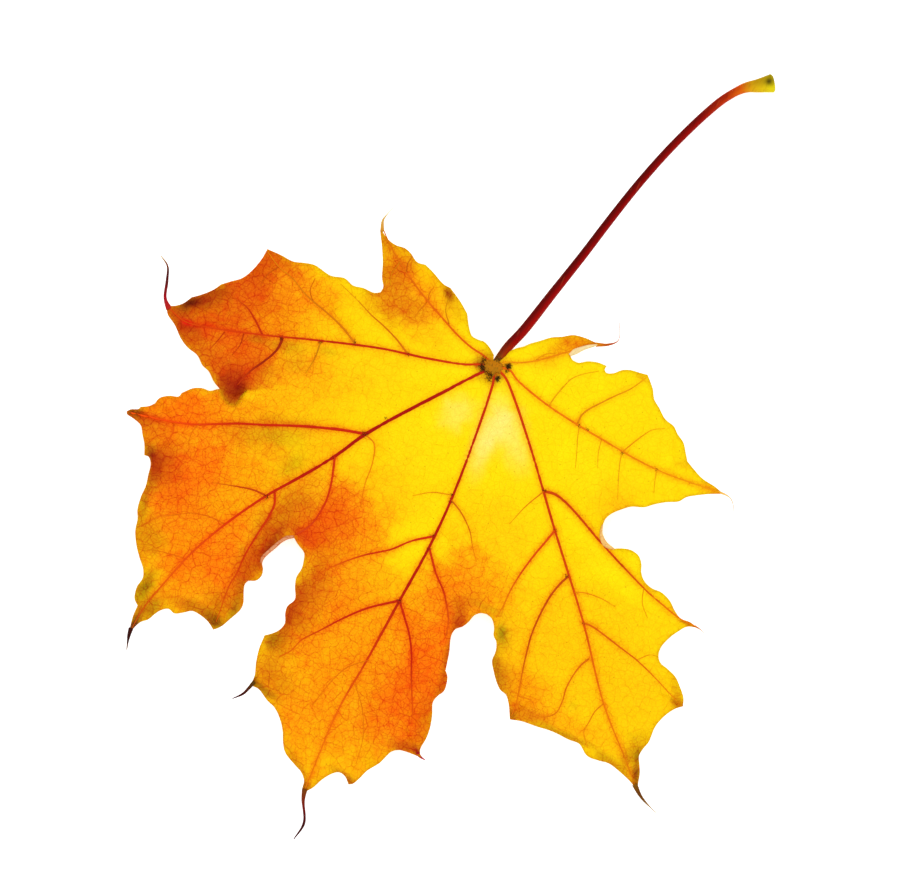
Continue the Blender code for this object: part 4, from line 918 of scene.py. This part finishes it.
def headings(path):
    """Unit vectors along a path, level across it and up from it: its differences, then cross products."""
    along = np.gradient(path, axis=0)
    along /= np.linalg.norm(along, axis=1)[:, None]
    side = np.cross(along, (0, 0, 1))
    side /= np.linalg.norm(side, axis=1)[:, None]
    return along, side, np.cross(side, along)


def circle(sides):
    """This many even angles round a circle."""
    return np.arange(sides) * 2 * np.pi / sides


def tube_faces(rings, sides):
    """Faces over rings of points: four-sided ones between neighbours, and a cap at each end."""
    i, j = np.meshgrid(np.arange(rings - 1), np.arange(sides), indexing="ij")
    k = (j + 1) % sides
    quads = np.stack([i * sides + j, i * sides + k, (i + 1) * sides + k, (i + 1) * sides + j], axis=-1)
    caps = np.stack([np.arange(sides)[::-1], np.arange(sides) + (rings - 1) * sides])
    return quads.reshape(-1, 4), caps


def sweep(path, side, lift, outline):
    """Rings along a path: each point is side times the outline's first number, lift times its second."""
    rings = path[:, None] + side[:, None] * outline[..., :1] + lift[:, None] * outline[..., 1:]
    quads, caps = tube_faces(*outline.shape[:2])
    return rings.reshape(-1, 3), [*quads, *caps]


def graded(shades, share):
    """The colours of a row of evenly spaced shades, read at these shares of its length."""
    inks = np.array([ink(shade) for shade in shades])
    return np.stack([along_row(channel, share) for channel in inks.T], axis=1)


def vein(course, lobe, shades, half_widths, depths):
    """A vein in the blade: a section of these half widths, flat above, a half oval this deep below."""
    flat = smooth(course, VEIN_STEP)
    share = np.linspace(0, 1, len(flat))
    _, side, lift = headings(np.column_stack([flat, np.zeros(len(flat))]))
    wide, deep = along_row(half_widths, share), along_row(depths, share) + BLADE_THICKNESS / 2
    turn = circle(VEIN_SIDES)
    tall = np.where(np.sin(turn) > 0, BLADE_THICKNESS / 2 + RIB_RISE, deep[:, None])
    outline = np.stack([wide[:, None] * np.cos(turn), tall * np.sin(turn)], axis=-1)
    points, faces = sweep(np.column_stack([flat, height(flat, lobe)]), side, lift, outline)
    return points, faces, np.repeat(graded(shades, share), VEIN_SIDES, axis=0)


def vein_skin():
    """The veins' painted tints with a fine grain along them and a faint sheen."""
    material, wire, place, tint = new_material("vein_skin", VEIN_GLOSS)
    grain, patch = noise(wire, place, 0.3, 2.0), noise(wire, place, 2.4)
    colour = stain(wire, tint, (0.8, 0.6, 0.5), step(wire, patch, 0.45, 0.75) * 0.5)
    colour = stain(wire, colour, (1.15, 1.2, 1.2), step(wire, grain, 0.5, 0.8) * 0.5)
    finish(material, wire, colour, 0.4 + grain * 0.2, grain, 0.04)
    return material


VEIN_SKIN = vein_skin()
ribs = gathered([vein(course, name, *RIB_LOOKS[name], RIB_DEPTH) for name, course in RIBS.items()])
main_ribs = closed_piece("main_ribs", ribs, VEIN_SKIN)
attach(main_ribs, "root")
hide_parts("maple_leaf")

veins = gathered([
    vein(course, lobe, [start, start, end], [SIDE_VEIN_GAIN * wide, narrow],
         (SIDE_VEIN_DEPTH * wide, narrow))
    for lobe, some in SIDE_VEINS.items() for start, end, wide, narrow, course in some
])
side_veins = closed_piece("side_veins", veins, VEIN_SKIN)
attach(side_veins, "root")
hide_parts("maple_leaf")

# ---------------------------------------------------------------------------------------------
# The stalk: a round, wiry stem, dark crimson and smooth, that hangs from under the junction and
# runs down to its foot. The foot flares into the scar where the leaf let go of its twig.
# ---------------------------------------------------------------------------------------------
STALK_PATH = [(0.4, 1.2), (1.1, 5.0), (2.8, 10.0), (5.35, 20.0), (8.05, 30.5), (10.3, 40.0), (12.9, 50.0),
              (16.1, 60.0), (20.1, 70.0), (22.7, 75.0), (25.6, 78.6), (28.3, 80.4), (30.6, 82.0)]
STALK_RADIUS = 0.98
STALK_FOOT = (2.1, 1.3)      # half width and half height where it came off the twig
STALK_SAG = 1.3
STALK_TOP_DROP = 1.0
STALK_GROUND = -0.3
STALK_SIDES = 28
STALK_SCAR = (29.9, 82.0)    # the dark mark where the vessels broke off
STALK_SCAR_SIZE = 0.75
STALK_SCAR_SHADE = "2a2000"
STALK_FLARE = (0.9, 1.6)     # the share of the length where the foot starts to flare, and how slowly
STALK_CLOSE = [(0.30, 0.92), (0.52, 0.74), (0.62, 0.42)]    # rings that round the end: reach and size
STALK_STEP = 0.4
STALK_GLOSS = 0.03
# The stalk's own colour changes along its length: brown by the junction, crimson, then ochre and yellow at
# the foot. Across it, the dark side is painted shade and the lit side is painted light, as if lit from the
# right.
STALK_COLOURS_WITH_PAINTED_LIGHT = [             # share of the length, dark side, lit side
    (0.00, "744408", "a05c10"), (0.03, "762004", "ac3008"), (0.07, "680602", "a40c06"),
    (0.30, "5a0200", "8e0404"), (0.60, "5a0200", "880402"), (0.80, "6e0602", "980c04"),
    (0.88, "9c2002", "bc3404"), (0.92, "cc4e04", "dc6408"), (0.95, "c09008", "dca810"),
    (1.00, "a89404", "dccc10"),
]


def stalk():
    """An oval section carried along the path, with shallow ribs round it, flaring and closed at the foot.

    The section is radius * (1 + 0.025 cos 7a + 0.02 cos 3a), a little stouter under the blade and
    slimmer past the middle; the flare grows as the last tenth of the length to the 1.6.
    """
    flat = smooth(STALK_PATH, STALK_STEP)
    share = np.linspace(0, 1, len(flat))
    top = height(np.zeros((1, 2)))[0] - STALK_TOP_DROP
    foot = STALK_GROUND + STALK_FOOT[1]
    path = np.column_stack([flat, foot + (top - foot) * (1 - share) ** STALK_SAG])
    along, side, lift = headings(path)
    reach, shrink = np.array(STALK_CLOSE).T
    path = np.vstack([path, path[-1] + reach[:, None] * along[-1]])
    side, lift = (np.vstack([rows, np.repeat(rows[-1:], len(reach), axis=0)]) for rows in (side, lift))
    start, slowly = STALK_FLARE
    flare = np.clip((share - start) / (1 - start), 0, 1) ** slowly
    neck = 1 + bell(share - 0.1, 0.14) * 0.12 - bell(share - 0.7, 0.3) * 0.08
    sizes = [STALK_RADIUS * neck + (full - STALK_RADIUS) * flare for full in STALK_FOOT]
    wide, tall = (np.concatenate([size, size[-1] * shrink])[:, None] for size in sizes)
    turn = circle(STALK_SIDES)
    ribbed = 1 + 0.025 * np.cos(7 * turn + 0.6) + 0.02 * np.cos(3 * turn)
    outline = np.stack([wide * ribbed * np.cos(turn), tall * ribbed * np.sin(turn)], axis=-1)
    points, faces = sweep(path, side, lift, outline)
    marks = [mark for mark, _, _ in STALK_COLOURS_WITH_PAINTED_LIGHT]
    inks = np.array([[ink(painted_shade_side), ink(painted_lit_side)] for _, painted_shade_side, painted_lit_side in STALK_COLOURS_WITH_PAINTED_LIGHT])
    at = np.concatenate([share, np.ones(len(reach))])
    painted_shade_side, painted_lit_colour = (
        np.stack([np.interp(at, marks, channel) for channel in side_inks.T], axis=1)[:, None]
        for side_inks in inks.transpose(1, 0, 2)
    )
    # Painted light and shade: round the section the tint goes from the painted shaded colour to the painted
    # lit one, lightest on the stalk's right side and a little above.
    painted_lit_side = step_share(np.cos(turn) + 0.25 * np.sin(turn), -0.2, 0.9)[:, None]
    tint = painted_shade_side * (1 - painted_lit_side) + painted_lit_colour * painted_lit_side
    from_scar = np.linalg.norm(points[:, :2] - STALK_SCAR, axis=1).reshape(tint.shape[:2])
    scar = 0.95 * bell(from_scar, STALK_SCAR_SIZE)[..., None]
    tint = tint * (1 - scar) + ink(STALK_SCAR_SHADE) * scar
    return points, faces, tint.reshape(-1, 3)


def stalk_skin():
    """Smooth crimson bark: its tints, streaked along its length, with pale pores."""
    material, wire, place, tint = new_material("stalk_skin", STALK_GLOSS)
    turned = {0: place, "Rotation": (0, 0, math.radians(-14)), "Scale": (1, 0.12, 1)}
    turned = wire.add("ShaderNodeMapping", None, turned)
    streak, patch = noise(wire, turned, 0.4, 4.0), noise(wire, place, 3.0)
    pore = 1 - step(wire, cells(wire, turned, 900.0), 0.10, 0.2)
    colour = stain(wire, tint, (0.62, 0.5, 0.45), step(wire, streak, 0.5, 0.72) * 0.6)
    colour = stain(wire, colour, (1.2, 1.2, 1.1), step(wire, patch, 0.5, 0.75) * 0.4)
    colour = blend(wire, colour, ink("b04a20"), pore * 0.25)
    finish(material, wire, colour, 0.34 + streak * 0.2, streak + pore * 0.6, 0.05)
    return material


leaf_stalk = closed_piece("stalk", stalk(), stalk_skin())
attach(leaf_stalk, "root")
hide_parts("maple_leaf")

# ---------------------------------------------------------------------------------------------
# The junction: the swollen pad where all the ribs meet the stalk. It is corky, ochre to brown,
# and bulges a little towards each rib.
# ---------------------------------------------------------------------------------------------
PAD_RADIUS = 1.35
PAD_REACH = 0.85         # how far it runs out along each rib
PAD_SPREAD = 0.24        # half the angle that such a bulge takes, in radians
PAD_TOP = 0.42
PAD_BELOW = 1.25
PAD_SHADE = "c07404"
PAD_GLOSS = 0.06


def pad(rings=22, spokes=72):
    """A flattened ball, wider by a bell round each rib's direction, its height by cosine, pole to pole.

    Its lumps are 0.05 sin(5.1 x + 1.3) cos 4.3 y + 0.03 sin 11 (x + y), fading towards both poles.
    """
    turn = np.linspace(0, 2 * np.pi, spokes, endpoint=False)
    tilt = np.linspace(0, np.pi, rings + 2)[1:-1, None]
    starts = [math.atan2(*smooth(course, 1.0)[4][::-1]) for course in [*RIBS.values(), STALK_PATH]]
    apart = (turn[:, None] - starts + np.pi) % (2 * np.pi) - np.pi
    radius = PAD_RADIUS + PAD_REACH * bell(apart, PAD_SPREAD).sum(axis=1).clip(0, 1.2)
    out = radius * np.sin(tilt) ** 0.8
    x, y = out * np.cos(turn), out * np.sin(turn)
    lumps = 0.05 * np.sin(5.1 * x + 1.3) * np.cos(4.3 * y) + 0.03 * np.sin(11 * (x + y))
    z = np.cos(tilt) * np.where(np.cos(tilt) > 0, PAD_TOP, PAD_BELOW) + lumps * np.sin(tilt) ** 2
    z += height(np.zeros((1, 2)))[0] + BLADE_THICKNESS / 2
    points = np.stack([x, y, z], axis=-1).reshape(-1, 3)
    quads, caps = tube_faces(rings, spokes)
    return points, [*quads, *caps], np.tile(ink(PAD_SHADE), (len(points), 1))


def cork_skin():
    """Ochre cork: olive and brown patches by noise, darker brown where a finer noise runs high, quite
    rough.
    """
    material, wire, place, tint = new_material("cork_skin", PAD_GLOSS)
    patch, dark_fleck = noise(wire, place, 1.1), noise(wire, place, 0.4, 5.0)
    colour = blend(wire, tint, ink("a8700c"), step(wire, patch, 0.42, 0.6) * 0.7)
    colour = blend(wire, colour, ink("5c3a0a"), step(wire, dark_fleck, 0.54, 0.74) * 0.75)
    finish(material, wire, colour, 0.65 + patch * 0.2, dark_fleck + patch * 0.6, 0.16)
    return material


junction_pad = closed_piece("junction_pad", pad(), cork_skin())
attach(junction_pad, "root")
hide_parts("maple_leaf")

# ---------------------------------------------------------------------------------------------
# Hair tufts: the tree grows small tufts of dark felted hairs round the junction and in the forks
# of the larger veins. Each hair is a tenth of a millimetre thick and bends over as it rises.
# ---------------------------------------------------------------------------------------------
TUFTS = [  # centre, spread and number of hairs
    ((3.05, 1.45), 0.23, 90), ((1.95, -1.9), 0.19, 60), ((2.1, -2.4), 0.2, 12), ((-2.1, -1), 0.34, 54),
    ((-2.7, 0.5), 0.34, 20), ((0.1, -1.9), 0.36, 30), ((0.3, -2.8), 0.28, 16), ((0.4, 2.1), 0.3, 18),
    ((3.2, 0.2), 0.24, 14), ((-1, -1.6), 0.4, 14), ((22.5, -4.2), 0.16, 12), ((24.5, -4.2), 0.14, 8),
    ((33.6, -5.9), 0.14, 8), ((42, -6), 0.14, 7), ((-45, -13.2), 0.2, 12), ((-29.9, -7.5), 0.2, 14),
    ((-36.8, -10.4), 0.16, 10), ((-19.7, -24.9), 0.3, 22), ((-17, -19.9), 0.16, 9),
    ((-33.9, -46.2), 0.22, 12), ((-23.9, -32.3), 0.16, 8), ((21.4, -20.2), 0.22, 14),
    ((27, -27.2), 0.16, 10), ((33.6, -35.3), 0.2, 12), ((41, -43.4), 0.16, 9), ((3.1, -29.3), 0.16, 9),
    ((3.5, -30.7), 0.18, 10), ((3.2, -39.2), 0.2, 12), ((3.6, -42.3), 0.2, 12), ((2, -55.5), 0.24, 14),
    ((-18.2, -5), 0.14, 7),
]
HAIR_LENGTH = (0.45, 1.05)
HAIR_RADIUS = 0.05
HAIR_SHADE = "2a1806"
HAIR_TIP_SHADE = "7a5420"
HAIR_REACH = 0.8             # how far a hair runs out, and how high it rises, as shares of its length
HAIR_RISE = 0.75
HAIR_TAPER = 0.8
HAIR_ROOT = 0.03             # how deep in the tissue a hair starts
ON_PAD = (2.0, 0.8)          # hairs this near the junction stand on the pad, at this share of its height
HAIR_RINGS = 5
HAIR_SIDES = 4
HAIR_GLOSS = 0.05


def hairs():
    """Thin cones on bent lines: base + length * (0.8 t outward + 0.75 (t - t squared / 2) upward)."""
    chance = np.random.default_rng(23)
    centres, spreads, counts = zip(*TUFTS)
    number, spread = sum(counts), np.repeat(spreads, counts)
    base = np.repeat(centres, counts, axis=0) + chance.normal(size=(number, 2)) * spread[:, None]
    heading = chance.uniform(0, 2 * np.pi, number)
    length = chance.uniform(*HAIR_LENGTH, number) * np.clip(spread / 0.3, 0.55, 1)
    up = np.array([0.0, 0.0, 1.0])
    out = np.stack([np.cos(heading), np.sin(heading), np.zeros(number)], axis=1)
    reach, share = ON_PAD
    on_pad = bell(np.hypot(*base.T), reach) * PAD_TOP * share
    ground = height(base) + BLADE_THICKNESS / 2 + on_pad - HAIR_ROOT
    t = np.linspace(0, 1, HAIR_RINGS)[:, None]
    bent = out[:, None] * HAIR_REACH * t + up * HAIR_RISE * (t - t**2 / 2)
    path = np.column_stack([base, ground])[:, None] + length[:, None, None] * bent
    turn = circle(HAIR_SIDES)[:, None]
    ring = np.cross(up, out)[:, None, None] * np.cos(turn) + up * np.sin(turn)
    points = path[:, :, None] + ring * HAIR_RADIUS * (1 - HAIR_TAPER * t)[:, None]
    start = np.arange(number)[:, None, None] * HAIR_RINGS * HAIR_SIDES
    faces = [face for some in tube_faces(HAIR_RINGS, HAIR_SIDES) for face in np.vstack(some + start)]
    shade = ink(HAIR_SHADE) + (ink(HAIR_TIP_SHADE) - ink(HAIR_SHADE)) * t**2
    return points.reshape(-1, 3), faces, np.broadcast_to(shade[:, None], points.shape).reshape(-1, 3)


def felt():
    """Dull felted hair: its tint, lighter and darker by fine noise."""
    material, wire, place, tint = new_material("felt", HAIR_GLOSS)
    fleck = noise(wire, place, 0.5)
    colour = stain(wire, tint, (0.5, 0.5, 0.5), step(wire, fleck, 0.4, 0.7))
    finish(material, wire, colour, 0.75 + fleck * 0.15, fleck, 0.02)
    return material


hair_tufts = closed_piece("hair_tufts", hairs(), felt())
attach(hair_tufts, "root")
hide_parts("maple_leaf")

# ---------------------------------------------------------------------------------------------
# Bristle tips: each lobe and a few of the larger teeth end in a dry thread, some flattened into
# a twisted ribbon. They are the ribs' own ends, dead and curled before the leaf fell.
# ---------------------------------------------------------------------------------------------
BRISTLES = {  # course with the rise above the blade's tip, half widths, thickness share, twist, colours
    "stalk_left": ([(-34.3, 17.2, 0), (-35.1, 19.5, 0.6), (-34.8, 21.0, 1.4), (-33.8, 24.0, 2.4)],
                   [0.45, 0.28, 0.13, 0.07], 0.5, 60, ["d08c20", "d8a850", "e8d8b0", "efe6cc"]),
    "side_left": ([(-70.2, -17.3, 0), (-71.9, -15.5, 0.5), (-73.1, -11.7, 1.4), (-74.3, -8.8, 1.9),
                   (-76.5, -7.4, 2.1)],
                  [0.7, 0.42, 0.44, 0.62, 0.56, 0.3, 0.12], 0.5, 140,
                  ["b82418", "a81020", "8a0814", "580408", "4c0204", "803c14", "d0b478"]),
    "wide_left": ([(-49.4, -84.8, 0.1), (-49.1, -86.8, 0.1), (-48.3, -89.6, 0.6)],
                  [0.55, 0.4, 0.2, 0.1], 0.9, 40, ["401004", "340602", "3c1004", "8a5c34"]),
    "middle_left": ([(-19.8, -84.6, 0), (-20.4, -86.5, 0.1), (-21.0, -88.0, 0.4), (-22.7, -89.9, 0.9)],
                    [0.45, 0.36, 0.28, 0.12], 0.85, 60, ["5c4004", "4c1a04", "400804", "500c08"]),
    "middle": ([(-0.1, -101.6, 0.1), (0.6, -104.0, 0.1), (2.8, -108.5, 0.7), (2.2, -112.7, 1.6)],
               [0.62, 0.46, 0.32, 0.36, 0.42, 0.3, 0.14], 0.75, 120,
               ["743c04", "7a2a06", "740e04", "580402", "400202", "400202", "501008"]),
    "wide_right": ([(65.8, -71.2, 0.1), (68.0, -73.0, 0.1), (70.0, -74.0, 0.4), (72.8, -75.0, 1.0)],
                   [0.62, 0.44, 0.28, 0.14, 0.09], 0.8, 60,
                   ["805000", "683804", "744808", "a88448", "c8b080"]),
    "wide_right_tooth": ([(63.6, -34.0, 0), (65.2, -34.2, 0.2), (66.7, -34.8, 0.5)],
                         [0.25, 0.12, 0.06], 0.6, 30, ["c06c10", "e0a880", "f0dcd0"]),
    "middle_right_tooth": ([(19.2, -84.2, 0), (20.3, -84.8, 0.1), (21.6, -85.0, 0.3)],
                           [0.45, 0.3, 0.12], 0.7, 30, ["a00c18", "a81420", "d07880"]),
    "side_right": ([(56.2, -4.9, 0), (59.2, -5.1, 0.4), (60.8, -6.8, 0.9), (61.4, -9.3, 1.2)],
                   [0.32, 0.16, 0.1, 0.07], 0.6, 40, ["f0b000", "f4cc90", "e8b8a0", "f0dcd0"]),
    "stalk_right": ([(18.6, 13.6, 0), (21.1, 14.7, 0.3), (22.7, 16.4, 0.8), (21.4, 20.1, 1.8)],
                    [0.5, 0.38, 0.3, 0.14, 0.11, 0.1], 0.6, 150,
                    ["d88400", "c86404", "b84c08", "c88468", "cc948c", "d8b0a8"]),
}
BRISTLE_STEP = 0.35
BRISTLE_THINNEST = 0.06      # the least half thickness, except where the half width is less
BRISTLE_SIDES = 10


def bristle(course, half_widths, flatness, twist, shades):
    """A ribbon: an oval section, its short side a share of the long one, turned evenly as it goes along."""
    path = smooth(course, BRISTLE_STEP)
    path[:, 2] += height(path[:1])[0]
    share = np.linspace(0, 1, len(path))
    _, side, lift = headings(path)
    wide = along_row(half_widths, share)
    thin = np.minimum(wide, np.maximum(wide * flatness, BRISTLE_THINNEST))
    turn, spin = circle(BRISTLE_SIDES), np.radians(twist) * share[:, None]
    across, up = wide[:, None] * np.cos(turn), thin[:, None] * np.sin(turn)
    spun = across * np.cos(spin) - up * np.sin(spin), across * np.sin(spin) + up * np.cos(spin)
    points, faces = sweep(path, side, lift, np.stack(spun, axis=-1))
    return points, faces, np.repeat(graded(shades, share), BRISTLE_SIDES, axis=0)


bristles = gathered([bristle(*look) for look in BRISTLES.values()])
bristle_tips = closed_piece("bristle_tips", bristles, VEIN_SKIN)
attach(bristle_tips, "root")
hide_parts("maple_leaf")

# ---------------------------------------------------------------------------------------------
# The studio: a plain white table under soft light, seen from straight above. The view is turned
# so that the stalk points up and to the right.
# ---------------------------------------------------------------------------------------------
VIEW_TURN = 24.0         # degrees
VIEW_CENTRE = np.array([-1.80, -19.22, 0.0])
VIEW_WIDTH = 198.0 * MM
CAMERA_HEIGHT = 2.4
SENSOR_WIDTH = 36.0
FLOOR_SIZE = 6.0
CARD_GLOSS = 0.1
CARD_GLOW = 0.5
SKY_STRENGTH = 0.82
LAMPS = [  # name, place and size in metres, watts
    ("overhead", (-0.3, 0.4, 1.5), 1.6, 13.5),
    ("side", (1.2, -0.9, 0.9), 0.8, 4.2),
]


def white_card():
    """Matt white card, faintly mottled, that gives off a little light."""
    material, wire, place, _ = new_material("white_card", CARD_GLOSS)
    fleck = noise(wire, place, 40.0)
    colour = blend(wire, (0.93, 0.93, 0.93), (0.95, 0.95, 0.95), fleck)
    finish(material, wire, colour, 0.8 + fleck * 0.1, fleck, 0.01)
    shader = material.node_tree.nodes["Principled BSDF"]
    shader.inputs["Emission Color"].default_value = (1, 1, 1, 1)
    shader.inputs["Emission Strength"].default_value = CARD_GLOW
    return material


def floor():
    """A square sheet of card, centred under the leaf."""
    r = FLOOR_SIZE / 2
    mesh = bpy.data.meshes.new("floor")
    mesh.from_pydata([(-r, -r, 0), (r, -r, 0), (r, r, 0), (-r, r, 0)], [], [(0, 1, 2, 3)])
    mesh.materials.append(white_card())
    sheet = bpy.data.objects.new("floor", mesh)
    sheet.location.z = low_corner[2]
    bpy.context.scene.collection.objects.link(sheet)
    return sheet


def soft_light(name, place, size, watts):
    """A square lamp that faces the leaf."""
    lamp = bpy.data.lights.new(name, "AREA")
    lamp.shape = "SQUARE"
    lamp.size = size
    lamp.energy = watts
    holder = bpy.data.objects.new(name, lamp)
    holder.location = place
    holder.rotation_euler = (-holder.location).to_track_quat("-Z", "Y").to_euler()
    bpy.context.scene.collection.objects.link(holder)


floor()
for lamp_look in LAMPS:
    soft_light(*lamp_look)

sky = bpy.data.worlds.new("sky")
sky.use_nodes = True
sky.node_tree.nodes["Background"].inputs["Color"].default_value = (1, 1, 1, 1)
sky.node_tree.nodes["Background"].inputs["Strength"].default_value = SKY_STRENGTH
bpy.context.scene.world = sky
bpy.context.scene.view_settings.view_transform = "Standard"

camera = bpy.data.cameras.new("camera")
camera.sensor_width = SENSOR_WIDTH
camera.lens = SENSOR_WIDTH * CAMERA_HEIGHT / VIEW_WIDTH
eye = bpy.data.objects.new("camera", camera)
eye.location = VIEW_CENTRE * MM + JUNCTION + np.array([0, 0, CAMERA_HEIGHT])
eye.rotation_euler = (0, 0, math.radians(VIEW_TURN))
bpy.context.scene.collection.objects.link(eye)
bpy.context.scene.camera = eye
